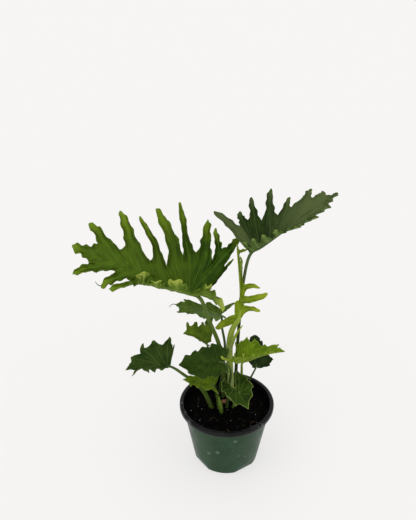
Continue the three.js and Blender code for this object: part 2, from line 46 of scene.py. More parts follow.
# The pot. A thin-walled plastic nursery pot, blown from two layers: dull dark green outside, black inside.
# Its wall flares to a thick rolled rim, where the black layer turns over and shows. The lower corner is
# pressed flat in four places.
POT_HEIGHT = 0.113
RIM_RADIUS = 0.078
RIM_BOTTOM = 0.1046
RIM_TUCK = 0.0006
BODY_TOP_RADIUS = 0.072
BASE_RADIUS = 0.0525
BASE_CORNER = 0.003
WALL = 0.0016
WALL_STEP = 0.0004
FLOOR_THICKNESS = 0.002
BODY_ROWS = 28
POT_SIDES = 192
FLAT_ANGLES = [math.radians(angle) for angle in (-55, 35, 125, 215)]
FLAT_HALF_ANGLE = math.radians(20)
FLAT_HEIGHT = 0.015
DENT_DEPTH = 0.00022
DENT_SCALE = 28
# Below this height the pot's inside is painted near-black and dull: painted shade.
SHADE_PAINTED_BELOW = POT_HEIGHT - 0.003
# The underside is raised in the middle: its points, by radius and height.
UNDERSIDE = [(0, 0.0012), (0.04, 0.0012), (0.043, 0.0003), (0.0445, 0)]
# Each round of the rolled rim: how far in its centre is, its height, its radius, and its two angles.
RIM_ROUNDS = [
    (0.0017, RIM_BOTTOM + 0.0018, 0.0017, -90, 0), (0.0024, POT_HEIGHT - 0.0026, 0.0024, 0, 80),
    (0.0046, POT_HEIGHT - 0.0021, 0.0021, 90, 175),
]
# Each pale mark, on the green wall and on the black rim: its place and its radius. The wall's marks are
# rubbed wear; the rim's are rubbed wear and painted highlights.
WALL_MARKS = [
    ((0.013, -0.0674, 0.0867), 0.003), ((-0.0155, -0.0611, 0.0566), 0.0034),
    ((-0.0299, -0.0537, 0.0484), 0.003),
]
RIM_RUBS_AND_HIGHLIGHTS = [((-0.062, -0.047, 0.1085), 0.006), ((0.0558, -0.0531, 0.1092), 0.004)]
MOULDED_GREEN, DUSTY_GREEN, RUBBED_GREEN = (0.011, 0.041, 0.015), (0.026, 0.067, 0.031), (0.3, 0.4, 0.33)
MOULDED_BLACK, DUSTY_BLACK, RUBBED_BLACK_AND_HIGHLIGHT = (0.003, 0.003, 0.004), (0.009, 0.009, 0.011), (0.35, 0.36, 0.38)
WORN_BLACK = (0.3, 0.31, 0.33)


def part_way(first, last, share):
    return first + (last - first) * share


def clamp(value, low=0.0, high=1.0):
    return max(low, min(high, value))


def ease(low, high, value):
    """Rises smoothly from 0 at low to 1 at high, or falls where low is above high."""
    share = clamp((value - low) / (high - low))
    return share * share * (3 - 2 * share)


def round_corner(centre, radius, start, end, steps=6):
    """Profile points on a round corner, from one angle in degrees to another."""
    angles = [math.radians(part_way(start, end, i / steps)) for i in range(steps + 1)]
    return [(centre[0] + radius * math.cos(angle), centre[1] + radius * math.sin(angle)) for angle in angles]


def wall_radius(height):
    return part_way(BASE_RADIUS, BODY_TOP_RADIUS, height / RIM_BOTTOM)


def add_object(name, data):
    made = bpy.data.objects.new(name, data)
    bpy.context.scene.collection.objects.link(made)
    return made


def from_shape(name, shape, materials):
    """Turns a finished bmesh into an object with its materials."""
    mesh = bpy.data.meshes.new(name)
    shape.to_mesh(mesh)
    shape.free()
    for material in materials:
        mesh.materials.append(material)
    return add_object(name, mesh)


def make_piece(name, shape, materials, stands_for=None):
    """A piece: it rides on the one body, and may stand for a CAD node, which it hides."""
    piece = from_shape(name, shape, materials)
    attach(piece, "root")
    if stands_for:
        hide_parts(stands_for)


def new_material(name):
    """A material, with its node tree and its Principled shader."""
    material = bpy.data.materials.new(name)
    material.use_nodes = True
    return material, material.node_tree, material.node_tree.nodes["Principled BSDF"]


def node(tree, kind, inputs=None, **settings):
    """A shader node with its settings, and with each named input set or linked."""
    made = tree.nodes.new("ShaderNode" + kind)
    for name, value in settings.items():
        setattr(made, name, value)
    for name, value in (inputs or {}).items():
        if isinstance(value, bpy.types.NodeSocket):
            tree.links.new(value, made.inputs[name])
        else:
            made.inputs[name].default_value = value
    return made


def object_place(tree):
    """The place of each point on its object."""
    return node(tree, "TexCoord").outputs["Object"]


def noise_in(tree, place, scale, detail=3.0, roughness=0.55):
    settings = {"Vector": place, "Scale": scale, "Detail": detail, "Roughness": roughness}
    return node(tree, "TexNoise", settings).outputs["Fac"]


def maths(tree, operation, first, second=0.0):
    return node(tree, "Math", {0: first, 1: second}, operation=operation).outputs[0]


def times(tree, first, second):
    return maths(tree, "MULTIPLY", first, second)


def attribute(tree, name):
    return node(tree, "Attribute", attribute_name=name).outputs["Fac"]


def eased(tree, value, low, high, to_low=0.0, to_high=1.0):
    """The value's place between low and high, eased, as a number between the two given ones."""
    limits = {"Value": value, "From Min": low, "From Max": high, "To Min": to_low, "To Max": to_high}
    return node(tree, "MapRange", limits, interpolation_type="SMOOTHSTEP").outputs["Result"]


def blend(tree, share, first, second):
    """The colour between two, each a socket or (r, g, b)."""
    first, second = [(*c, 1) if isinstance(c, tuple) else c for c in (first, second)]
    return node(tree, "Mix", {0: share, 6: first, 7: second}, data_type="RGBA").outputs[2]


def finish_skin(tree, shader, colour, roughness, height, depth, specular=0.5):
    """Links a skin's colour, roughness and relief to its shader. Depth is the relief's size in metres."""
    tree.links.new(colour, shader.inputs["Base Color"])
    if isinstance(roughness, float):
        shader.inputs["Roughness"].default_value = roughness
    else:
        tree.links.new(roughness, shader.inputs["Roughness"])
    shader.inputs["Specular IOR Level"].default_value = specular
    bump = node(tree, "Bump", {"Height": height, "Distance": depth, "Strength": 1.0})
    tree.links.new(bump.outputs["Normal"], shader.inputs["Normal"])


def new_group(name, inputs):
    """A node group with the given inputs, by name and value, and the sockets that hold them inside it."""
    tree = bpy.data.node_groups.new(name, "ShaderNodeTree")
    for socket, value in inputs.items():
        made = tree.interface.new_socket(name=socket, in_out="INPUT", socket_type="NodeSocketFloat")
        made.default_value = value
    return tree, tree.nodes.new("NodeGroupInput").outputs


def finish_group(tree, outputs):
    """Gives a node group its outputs, each by name and what feeds it."""
    for socket in outputs:
        tree.interface.new_socket(name=socket, in_out="OUTPUT", socket_type="NodeSocketFloat")
    result = tree.nodes.new("NodeGroupOutput").inputs
    for socket, value in outputs.items():
        tree.links.new(value, result[socket])


def use_group(tree, group, inputs):
    """The outputs of a node group that is placed in a material with its own input values."""
    return node(tree, "Group", inputs, node_tree=bpy.data.node_groups[group]).outputs


def mark_rubs_and_highlights(tree, place, ragged, colour, marks, start, end, paint):
    """The colour with its pale marks of rubbed wear, and on the rim also painted highlights, each from full
    to none between start and end times its radius.
    """
    for mark, radius in marks:
        gap = node(tree, "VectorMath", {0: place, 1: mark}, operation="DISTANCE").outputs["Value"]
        gap = maths(tree, "ADD", gap, times(tree, ragged, radius))
        colour = blend(tree, eased(tree, gap, start * radius, end * radius, 0.3, 0.0), colour, paint)
    return colour


# Worn plastic is one node group: thin scuffs in patches, dust in drifts, and the fine moulded grain.
tree, given = new_group("worn_plastic", {"Scuff Scale": 140.0, "Scuffing": 0.4})
place = object_place(tree)
patches = eased(tree, noise_in(tree, place, 22.0, 2.0), 0.5, 0.72)
scratches = eased(tree, noise_in(tree, place, given["Scuff Scale"], 6.0, 0.7), 0.56, 0.7)
finish_group(tree, {
    "Scuffs": times(tree, times(tree, patches, scratches), given["Scuffing"]),
    "Dust": eased(tree, noise_in(tree, place, 38.0, 5.0, 0.65), 0.35, 0.75),
    "Grain": noise_in(tree, place, 900.0),
})

green_plastic, tree, shader = new_material("green_pot_plastic")
place = object_place(tree)
wear = use_group(tree, "worn_plastic", {"Scuff Scale": 140.0, "Scuffing": 0.35})
body_colour = blend(tree, wear["Dust"], MOULDED_GREEN, DUSTY_GREEN)
body_colour = blend(tree, wear["Scuffs"], body_colour, RUBBED_GREEN)
mark_edge_noise = noise_in(tree, place, 420.0, 4.0)
body_colour = mark_rubs_and_highlights(tree, place, mark_edge_noise, body_colour, WALL_MARKS, 0.6, 2.1, RUBBED_GREEN)
gloss = eased(tree, wear["Dust"], 0, 1, 0.3, 0.48)
finish_skin(tree, shader, body_colour, gloss, wear["Grain"], depth=0.00006, specular=0.13)

black_plastic, tree, shader = new_material("black_pot_plastic")
place = object_place(tree)
wear = use_group(tree, "worn_plastic", {"Scuff Scale": 90.0, "Scuffing": 0.9})
height = node(tree, "SeparateXYZ", {"Vector": place}).outputs["Z"]
worn_edge = times(tree, wear["Scuffs"], eased(tree, height, 0.1085, 0.1115))
rim_colour = blend(tree, wear["Dust"], MOULDED_BLACK, DUSTY_BLACK)
rim_colour = blend(tree, worn_edge, rim_colour, WORN_BLACK)
mark_edge_noise = times(tree, noise_in(tree, place, 300.0, 4.0), 2.0)
# The rim's pale marks at its left and right are partly rubbed wear and partly painted highlights.
rim_colour = mark_rubs_and_highlights(tree, place, mark_edge_noise, rim_colour, RIM_RUBS_AND_HIGHLIGHTS, 0.8, 2.2, RUBBED_BLACK_AND_HIGHLIGHT)
gloss = eased(tree, wear["Dust"], 0, 1, 0.22, 0.42)
finish_skin(tree, shader, rim_colour, gloss, wear["Grain"], depth=0.00005, specular=0.15)

# The pot's inside above the soil: near-black with a faint brown mottle and dull, a painted shade that stands
# in for the shade inside the pot.
shade_painted_wall, tree, shader = new_material("inner_wall_painted_shade")
place = object_place(tree)
inner_mottle = noise_in(tree, place, 160.0, 5.0)
inner_shade_colour = blend(tree, inner_mottle, (0.0008, 0.0008, 0.0008), (0.003, 0.0025, 0.002))
finish_skin(tree, shader, inner_shade_colour, 0.8, inner_mottle, depth=0.0001, specular=0.03)

body_heights = [part_way(BASE_CORNER, RIM_BOTTOM - RIM_TUCK, i / BODY_ROWS) for i in range(1, BODY_ROWS + 1)]
pot_profile = [*UNDERSIDE, (BASE_RADIUS - BASE_CORNER, 0)]
pot_profile += round_corner((BASE_RADIUS - BASE_CORNER + WALL_STEP, BASE_CORNER), BASE_CORNER, -80, -10)
pot_profile += [(wall_radius(z), z) for z in body_heights]
pot_profile += [(BODY_TOP_RADIUS + WALL_STEP, RIM_BOTTOM)]
for inset, height, radius, start, end in RIM_ROUNDS:
    pot_profile += round_corner((RIM_RADIUS - inset, height), radius, start, end)
pot_profile += [(wall_radius(z) - WALL, z) for z in reversed(body_heights)]
pot_profile += round_corner((BASE_RADIUS - BASE_CORNER, BASE_CORNER + WALL), BASE_CORNER - WALL, 0, -90, 3)
pot_profile += [(0, FLOOR_THICKNESS)]
pot = bmesh.new()
points = [pot.verts.new((radius, 0, z)) for radius, z in pot_profile]
line = points + [pot.edges.new(pair) for pair in zip(points, points[1:])]
bmesh.ops.spin(
    pot, geom=line, cent=(0, 0, 0), axis=(0, 0, 1), angle=math.tau, steps=POT_SIDES, use_merge=True,
)
bmesh.ops.remove_doubles(pot, verts=pot.verts, dist=1e-6)
bmesh.ops.recalc_face_normals(pot, faces=pot.faces)
for vert in pot.verts:
    x, y, z = vert.co
    angle = math.atan2(y, x)
    for flat in FLAT_ANGLES:
        off = math.atan2(math.sin(angle - flat), math.cos(angle - flat))
        if abs(off) < FLAT_HALF_ANGLE and math.hypot(x, y) > BASE_RADIUS / 2:
            chord = math.cos(FLAT_HALF_ANGLE) / math.cos(off)
            vert.co.xy *= 1 - clamp(1 - z / FLAT_HEIGHT) * (1 - chord)
    if 0 < z < RIM_BOTTOM:
        dent = DENT_DEPTH * noise.noise(vert.co * DENT_SCALE) * ease(0, 0.01, z) * ease(RIM_BOTTOM, 0.09, z)
        vert.co.xy += vert.co.xy.normalized() * dent
for face in pot.faces:
    face.smooth = True
    centre = face.calc_center_median()
    outside = face.normal.xy.dot(centre.xy) > 0 or centre.z < BASE_CORNER / 2
    if outside:
        face.material_index = 0 if centre.z < RIM_BOTTOM - WALL_STEP else 1
    else:
        # Inside faces below the rim's top take the painted shade of the pot's inside.
        face.material_index = 2 if centre.z < SHADE_PAINTED_BELOW else 1
make_piece("pot_shell", pot, [green_plastic, black_plastic, shade_painted_wall], "pot")


# The soil. Black potting mix of peat and fine bark, filled to a finger's width under the rim and settled in
# low heaps. Coarser crumbs, pale perlite grains and thin brown fibres and twigs lie loose on it.
SOIL_LEVEL = 0.1
SOIL_DEPTH = 0.012
SOIL_SLACK = 0.0004
SOIL_RADIUS = wall_radius(SOIL_LEVEL) - WALL - SOIL_SLACK
SOIL_FOOT = wall_radius(SOIL_LEVEL - SOIL_DEPTH) - WALL - SOIL_SLACK
SOIL_GRID = 170
HEAP_HEIGHT = 0.0013
LUMP_HEIGHT = 0.0011
CRUMBS = 2600
LEAST_CRUMB = 0.0005
CRUMB_SPREAD = 0.0013
LUMPS = 46
FINE_PERLITE = 26
FIBRES = 150
# Each perlite grain that shows: its place on the soil and its radius, in mm.
PERLITE = [
    (-2.3, -60.5, 1.2), (-59.1, -10.4, 0.8), (-44.9, -33.4, 0.9), (-60.4, -32.2, 0.8), (33.9, -3, 0.6),
]
# Each twig that shows: its two ends on the soil and its radius in mm, and how pale it is.
TWIGS = [
    ((-29.4, -36), (-21, -27), 0.45, 1.0), ((-1.5, -53), (3.5, -60), 0.4, 0.8),
    ((37, -40), (47, -36.5), 0.5, 0.7), ((-15, -36), (-19, -30), 0.5, 0.4), ((52, -20), (46, -12), 0.4, 0.4),
    ((30, -30), (24, -38), 0.35, 0.5), ((-50, 10), (-43, 14), 0.4, 0.5), ((60, 5), (57, 16), 0.45, 0.5),
    ((-14, -58), (-6, -62), 0.35, 0.45),
]
chance = random.Random(11)


def soil_height(x, y):
    """The soil's height at a place: broad heaps with lumps on them."""
    fade = 1 - clamp(math.hypot(x, y) / SOIL_RADIUS) ** 6
    broad = math.sin(x / 0.011) * math.cos(y / 0.009) + 0.6 * math.sin((x + y) / 0.017)
    lumps = noise.fractal(Vector((x, y, 0.3)) * 190, 0.9, 2.1, 4)
    return SOIL_LEVEL + HEAP_HEIGHT * broad * fade + LUMP_HEIGHT * lumps


soil_mix, tree, shader = new_material("soil_mix")
place = object_place(tree)
peat = noise_in(tree, place, 420.0, 7.0, 0.7)
flecks = node(tree, "TexVoronoi", {"Vector": place, "Scale": 520.0}).outputs["Distance"]
brown = eased(tree, peat, 0.52, 0.75)
soil_colour = blend(tree, brown, (0.0006, 0.0005, 0.0005), (0.005, 0.0035, 0.0025))
bark_fleck = times(tree, eased(tree, flecks, 0.28, 0.12), brown)
soil_colour = blend(tree, bark_fleck, soil_colour, (0.02, 0.012, 0.007))
finish_skin(tree, shader, soil_colour, 0.85, peat, depth=0.0006, specular=0.04)

soil = bmesh.new()
bmesh.ops.create_grid(soil, x_segments=SOIL_GRID, y_segments=SOIL_GRID, size=1)
rim_edges = [edge for edge in soil.edges if edge.is_boundary]
skirt = bmesh.ops.extrude_edge_only(soil, edges=rim_edges)["geom"]
skirt_verts = {item for item in skirt if isinstance(item, bmesh.types.BMVert)}
bmesh.ops.contextual_create(soil, geom=[item for item in skirt if isinstance(item, bmesh.types.BMEdge)])
for vert in soil.verts:
    x = SOIL_RADIUS * vert.co.x * math.sqrt(1 - vert.co.y ** 2 / 2)
    y = SOIL_RADIUS * vert.co.y * math.sqrt(1 - vert.co.x ** 2 / 2)
    vert.co = (x, y, soil_height(x, y))
    if vert in skirt_verts:
        vert.co.xy *= SOIL_FOOT / SOIL_RADIUS
        vert.co.z = SOIL_LEVEL - SOIL_DEPTH
bmesh.ops.recalc_face_normals(soil, faces=soil.faces)
for face in soil.faces:
    face.smooth = True
make_piece("soil_bed", soil, [soil_mix], "soil")


def on_soil(share=0.985):
    """A random place on the soil."""
    angle = chance.uniform(0, math.tau)
    reach = SOIL_RADIUS * share * math.sqrt(chance.random())
    x, y = reach * math.cos(angle), reach * math.sin(angle)
    return Vector((x, y, soil_height(x, y)))


def make_grains(grains):
    """Rough grains, each a place, size, flatness and shade: one twenty-sided ball, copied until there are
    enough, and each copy stretched, turned and dented at random."""
    shape = bmesh.new()
    shade_layer = shape.verts.layers.float.new("shade")
    corners = len(bmesh.ops.create_icosphere(shape, subdivisions=1, radius=1)["verts"])
    while len(shape.verts) < corners * len(grains):
        bmesh.ops.duplicate(shape, geom=[*shape.verts, *shape.edges, *shape.faces])
    verts = list(shape.verts)
    for i, (centre, size, flatness, shade) in enumerate(grains):
        turn = Euler([chance.uniform(0, math.tau) for _ in range(3)]).to_matrix()
        stretch = Matrix.Diagonal((size, size * chance.uniform(0.55, 0.9), size * flatness))
        for vert in verts[i * corners:(i + 1) * corners]:
            vert.co = centre + turn @ stretch @ vert.co * chance.uniform(0.75, 1.15)
            vert[shade_layer] = shade
    bmesh.ops.delete(shape, geom=verts[len(grains) * corners:], context="VERTS")
    return shape


crumb_skin, tree, shader = new_material("soil_crumbs")
place = object_place(tree)
shade = attribute(tree, "shade")
pitted = noise_in(tree, place, 900.0, 4.0)
crumb_colour = blend(tree, eased(tree, shade, 0.55, 0.8), (0.001, 0.0008, 0.0007), (0.012, 0.008, 0.006))
crumb_colour = blend(tree, eased(tree, shade, 0.9, 1.0), crumb_colour, (0.07, 0.042, 0.026))
crumb_colour = blend(tree, eased(tree, pitted, 0.35, 0.7), (0.0005, 0.0005, 0.0005), crumb_colour)
finish_skin(tree, shader, crumb_colour, 0.75, pitted, depth=0.0003, specular=0.06)
crumbs = []
for _ in range(CRUMBS):
    size = LEAST_CRUMB + CRUMB_SPREAD * chance.random() ** 3
    crumbs.append((on_soil(), size, chance.uniform(0.4, 0.8), chance.random() ** 1.4))
for _ in range(LUMPS):
    crumbs.append((on_soil(), chance.uniform(0.0017, 0.003), 0.45, chance.random()))
make_piece("soil_crumbs", make_grains(crumbs), [crumb_skin])

perlite_skin, tree, shader = new_material("perlite")
place = object_place(tree)
foam = noise_in(tree, place, 2400.0)
finish_skin(tree, shader, blend(tree, foam, (0.5, 0.5, 0.48), (0.8, 0.79, 0.76)), 0.8, foam, depth=0.0003)
perlite = []
for x, y, size in PERLITE:
    x, y, size = x / 1000, y / 1000, size / 1000
    perlite.append((Vector((x, y, soil_height(x, y) + size * 0.6)), size, 0.8, 1))
for _ in range(FINE_PERLITE):
    perlite.append((on_soil(), chance.uniform(0.0003, 0.0007), 0.8, 1))
make_piece("perlite_grains", make_grains(perlite), [perlite_skin])


def smooth_path(points, spacing):
    """Points along a smooth curve through the given ones, about as far apart as the spacing."""
    points = [Vector(point) for point in points]
    ends = [2 * points[0] - points[1], *points, 2 * points[-1] - points[-2]]
    path = []
    for before, start, end, after in zip(ends, ends[1:], ends[2:], ends[3:]):
        pairs = ((before, start), (start, end), (end, after))
        first, middle, last = [(b - a).length ** 0.5 for a, b in pairs]
        leave = (start - before) / first - (end - before) / (first + middle) + (end - start) / middle
        arrive = (end - start) / middle - (after - start) / (middle + last) + (after - end) / last
        count = max(2, round((end - start).length / spacing)) + 1
        handles = start + leave * middle / 3, end - arrive * middle / 3
        path += interpolate_bezier(start, *handles, end, count)[:-1]
    return path + [points[-1]]


def add_tube(shape, path, radius_at, sides, material=0):
    """A closed tube along a path, with its own growth map. radius_at takes the share of the length.
    Returns its faces."""
    last = len(path) - 1
    lengths = [0.0]
    for a, b in zip(path, path[1:]):
        lengths.append(lengths[-1] + (b - a).length)
    directions = [(path[min(i + 1, last)] - path[max(i - 1, 0)]).normalized() for i in range(last + 1)]
    side = directions[0].orthogonal().normalized()
    sides_of = []
    for direction in directions:
        side = (side - direction * side.dot(direction)).normalized()
        sides_of.append((side, direction.cross(side)))
    growth = shape.loops.layers.uv.verify()
    grid = bmesh.ops.create_grid(shape, x_segments=sides, y_segments=last, size=0.5)["verts"]
    tip = shape.verts.layers.float.get("tip")
    faces = {face for vert in grid for face in vert.link_faces}
    for vert in grid:
        row = round((vert.co.y + 0.5) * last)
        for loop in vert.link_loops:
            loop[growth].uv = (vert.co.x + 0.5, lengths[row])
        angle = math.tau * (vert.co.x + 0.5)
        share = lengths[row] / lengths[-1]
        radius = radius_at(share) if 0 < row < last else 0.0
        first, second = sides_of[row]
        if tip:
            vert[tip] = share
        vert.co = path[row] + first * radius * math.cos(angle) + second * radius * math.sin(angle)
    bmesh.ops.remove_doubles(shape, verts=grid, dist=1e-7)
    faces = [face for face in faces if face.is_valid]
    bmesh.ops.recalc_face_normals(shape, faces=faces)
    for face in faces:
        face.smooth = True
        face.material_index = material
    return faces


fibre_skin, tree, shader = new_material("plant_fibre")
place = object_place(tree)
strands = noise_in(tree, place, 1500.0)
fibre_colour = blend(tree, attribute(tree, "shade"), (0.012, 0.008, 0.005), (0.17, 0.105, 0.055))
fibre_colour = blend(tree, eased(tree, strands, 0.3, 0.7, 0, 0.6), fibre_colour, (0.02, 0.013, 0.009))
finish_skin(tree, shader, fibre_colour, 0.8, strands, depth=0.0002, specular=0.1)
fibres = bmesh.new()
shade_layer = fibres.verts.layers.float.new("shade")


def add_fibre(start, end, radius, shade):
    """A thin fibre that lies on the soil between two places, a little bowed."""
    along = end - start
    bow = Vector((-along.y, along.x, 0)) * chance.uniform(-0.2, 0.2)
    points = []
    for share in (0, 0.33, 0.66, 1):
        point = start.lerp(end, share) + bow * math.sin(math.pi * share)
        point.z = soil_height(point.x, point.y) + radius * chance.uniform(0.6, 1.8)
        points.append(point)
    path = smooth_path(points, along.length / 8)
    for face in add_tube(fibres, path, lambda share: radius * (1 - 0.5 * share), 5):
        for vert in face.verts:
            vert[shade_layer] = shade


for start, end, radius, shade in TWIGS:
    add_fibre(Vector((*start, 0)) / 1000, Vector((*end, 0)) / 1000, radius / 1000, shade)
for _ in range(FIBRES):
    start = on_soil(0.93)
    angle = chance.uniform(0, math.tau)
    end = start + Vector((math.cos(angle), math.sin(angle), 0)) * chance.uniform(0.002, 0.008)
    radius, shade = chance.uniform(0.00012, 0.00035), chance.random() ** 2 * 0.7
    if end.xy.length < SOIL_RADIUS * 0.97:
        add_fibre(start, end, radius, shade)
make_piece("soil_fibres", fibres, [fibre_skin])


# The bark chip. A reddish brown piece of pine bark, broken off in layers, that lies on the soil behind the
# short shoot.
CHIP_PLACE = (-0.003, 0.01, 0.1037)
CHIP_SIZE = (0.0065, 0.004, 0.003)
bark_skin, tree, shader = new_material("pine_bark")
place = object_place(tree)
layered = noise_in(tree, place, 330.0, 6.0)
pits = node(tree, "TexVoronoi", {"Vector": place, "Scale": 800.0}).outputs["Distance"]
bark_colour = blend(tree, eased(tree, layered, 0.38, 0.62), (0.15, 0.055, 0.03), (0.55, 0.25, 0.15))
bark_colour = blend(tree, eased(tree, pits, 0.15, 0.4, 0.5, 0), bark_colour, (0.03, 0.012, 0.008))
finish_skin(tree, shader, bark_colour, 0.85, layered, depth=0.0008, specular=0.3)
chip = bmesh.new()
bmesh.ops.create_icosphere(chip, subdivisions=5, radius=1)
for vert in chip.verts:
    ball = vert.co.copy()
    lumpy = 1 + 0.12 * math.sin(5 * ball.x + 3 * ball.y) * math.cos(4 * ball.z)
    lumpy += 0.1 * noise.fractal(ball * 2.6, 0.8, 2.1, 5)
    vert.co = [centre + b * lumpy * size for centre, b, size in zip(CHIP_PLACE, ball, CHIP_SIZE)]
for face in chip.faces:
    face.smooth = True
make_piece("bark_piece", chip, [bark_skin], "bark_chip")


# The large left leaf. The plant's biggest blade, on the longest stalk: a living, glossy leaf cut nearly to
# its midrib into fingers. Its near half curls up and inwards and shows its pale underside, and its far half
# lies back. The measures of every leaf are in mm and degrees.
MM = 0.001
MIDRIB_STEPS = 60
MIDRIB_SHARES = (0.1, 0.35, 0.65, 0.95)
MIDRIB_SINK = 0.75
RIB_TIP_RADIUS = 0.35
STALK_DEPTH = 20
STALK_SIDES = 18
THREAD_SIDES = 10
VEIN_POINTS = 6
VEIN_END = 0.35
CHANNEL_ROUND = 2
SNAKE_TURNS = 1.2
SLOW_RIPPLE = 2.7
RIPPLE_REACH = 0.3
LEAST_CURL = 1e-5
LEAST_HALF_WIDTH = 0.5
LEAST_SHARE = 1e-6
BLADE_LAYERS = ("column", "share", "vein", "edge", "tip", "lift")
SMOOTHINGS = 6
GROOVE = 0.25
RIB = 0.45
BLADE_THICKNESS = 0.5
EDGE_THICKNESS = 0.22
# How a leaf grows where its own measures don't say: its outline, its ripples and its veins.
HABITS = dict(
    roll=0, taper=0.5, fan=0.4, wide=0.5, columns=28, rows=26, snake=0.8, twist=0.12, wobble=0.1, waves=1.6,
    ripple=0.7, ripple_length=13, channel=0.12, vein=0.55, thread=None,
)


def half_blade(end, fold, lobes, curl=(0.3, 0.3), tip_breadth=1, frill=1):
    """Half a blade's measures: where its outline starts, its fold and curl from base to tip, and its lobes.
    Each lobe is its tip, the cleft after it and, where they aren't plain, its bend, lift and breadth."""
    return SimpleNamespace(end=end, fold=fold, curl=curl, lobes=lobes, tip_breadth=tip_breadth, frill=frill)


def between(values, share):
    """The value at a share of the way along a list of evenly spaced values."""
    last = len(values) - 1
    place = min(int(share * last), last - 1)
    return part_way(values[place], values[place + 1], share * last - place)


def heading_at(leaf, share):
    """The midrib's heading at a share of its length."""
    yaw = math.radians(leaf.yaw + leaf.turn * share)
    pitch = math.radians(leaf.pitch - leaf.arch * share)
    return Vector((math.cos(pitch) * math.cos(yaw), math.cos(pitch) * math.sin(yaw), math.sin(pitch)))


def midrib_points(leaf):
    """Points along the midrib at equal steps, from the junction with the stalk to the tip."""
    step = leaf.length / MIDRIB_STEPS
    points = [Vector(leaf.stalk[-1])]
    for i in range(MIDRIB_STEPS):
        points.append(points[i] + heading_at(leaf, (i + 0.5) / MIDRIB_STEPS) * step)
    return points


def midrib_frame(leaf, x):
    """The midrib's point x mm from the junction, with the directions to its left and up from the blade."""
    share = clamp(x / leaf.length)
    step = min(int(share * MIDRIB_STEPS), MIDRIB_STEPS - 1)
    heading = heading_at(leaf, share)
    point = leaf.midrib[step].lerp(leaf.midrib[step + 1], share * MIDRIB_STEPS - step)
    point = point + heading * (x - share * leaf.length)
    level = Vector((0, 0, 1)).cross(heading).normalized()
    left = Matrix.Rotation(math.radians(leaf.roll), 3, heading) @ level
    return point, left, heading.cross(left)


def lobes_of(leaf, half):
    """The lobes of one half, from the base to the half lobe at the tip, each a little irregular."""
    clefts = [Vector(half.end), *[Vector(lobe[2:4]) for lobe in half.lobes]]
    tips = [*[Vector(lobe[:2]) for lobe in half.lobes], Vector((leaf.length, 0))]
    root = 0.0
    lobes = []
    for i, tip in enumerate(tips):
        before = clefts[i]
        after = clefts[i + 1] if i + 1 < len(clefts) else Vector((before.x, -before.y))
        neck = (before + after) / 2
        axis = tip - neck
        straight = neck.x - neck.y * axis.x / axis.y if axis.y > 0 else neck.x
        root = max(root, leaf.fan * clamp(straight, 0, clefts[-1].x))
        at_tip = i == len(tips) - 1
        said = (0, 0, half.tip_breadth) if at_tip else half.lobes[i][4:]
        bend, lift, breadth = (*said, *(0, 0, 1)[len(said):])
        lobes.append(SimpleNamespace(
            before=before, after=after, neck=neck, axis=axis, root=root, bend=bend, lift=lift,
            breadth=breadth,
            snake=0 if at_tip else leaf.snake * leaf.chance.uniform(-1, 1),
            twist=0 if at_tip else leaf.twist * leaf.chance.uniform(-1, 1),
            phases=(leaf.chance.random(), leaf.chance.random()),
            waves=leaf.waves * leaf.chance.uniform(0.7, 1.3),
        ))
    for i, lobe in enumerate(lobes):
        lobe.root_before = (lobes[i - 1].root + lobe.root) / 2 if i else 0.0
        lobe.root_after = (lobe.root + lobes[min(i + 1, len(lobes) - 1)].root) / 2
    return lobes


def flat_place(leaf, lobes, column, share):
    """The flat place of a column, counted in lobes along the edge, at a share of the way from the midrib to
    the edge. Returns the place, its lift and how far out it is along its lobe."""
    index = min(int(column), len(lobes) - 1)
    lobe = lobes[index]
    rising = column - index <= 0.5
    inward = 2 * (column - index) if rising else 2 * (index + 1 - column)
    reach = (1 - math.cos(math.pi * inward)) / 2
    to_cleft = (lobe.before if rising else lobe.after) - lobe.neck
    root = Vector((part_way(lobe.root_before if rising else lobe.root_after, lobe.root, inward), 0))
    neck = lobe.neck + to_cleft * (1 - inward)
    to_neck = (neck - root).length
    neck_share = to_neck / (to_neck + reach * lobe.axis.length)
    if share <= neck_share:
        return root.lerp(neck, share / max(neck_share, LEAST_SHARE)), 0.0, 0.0
    along = (share - neck_share) / (1 - neck_share)
    out = reach * along
    sideways = 1 - inward + inward * along ** 2
    flare = math.exp(-out / (leaf.flare * lobe.breadth)) * (1 - out) ** 2
    across = Vector((-lobe.axis.y, lobe.axis.x)).normalized()
    room = across.dot(to_cleft)
    widest = min(leaf.finger * lobe.breadth, min(1, leaf.wide * lobe.breadth) * abs(room) + LEAST_HALF_WIDTH)
    wobble = 1 + leaf.wobble * math.sin(math.tau * (lobe.waves * out + lobe.phases[rising]))
    half_width = widest * wobble * (1 - leaf.taper * out) * math.sqrt(max(0, 1 - out ** leaf.blunt))
    snaking = lobe.snake * math.sin(math.tau * SNAKE_TURNS * out) * out
    snaking += lobe.bend * math.sin(math.pi * out ** 0.8)
    place = lobe.neck + lobe.axis * out + to_cleft * flare * sideways
    place += across * (math.copysign(half_width, room) * (1 - flare) * sideways + snaking)
    return place, lobe.lift * out ** 1.6, out


def blade_point(leaf, half, side, x, y, height):
    """Carries a flat place onto the folded, drooping blade, at a height above its middle."""
    point, left, up = midrib_frame(leaf, x)
    share = clamp(x / leaf.length)
    fold = math.radians(between(half.fold, share))
    curl = math.radians(between(half.curl, share)) or LEAST_CURL
    slope = fold - curl * y
    out = (math.sin(fold) - math.sin(slope)) / curl
    rise = (math.cos(slope) - math.cos(fold)) / curl
    return point + left * side * (out - height * math.sin(slope)) + up * (rise + height * math.cos(slope))


def distances_to(lines):
    """A search tree over points set closely along the given lines of points."""
    points = []
    for line in lines:
        for a, b in zip(line, line[1:]):
            points += [a.lerp(b, i / VEIN_POINTS) for i in range(VEIN_POINTS)]
        points.append(line[-1])
    tree = kdtree.KDTree(len(points))
    for i, point in enumerate(points):
        tree.insert(point, i)
    tree.balance()
    return tree


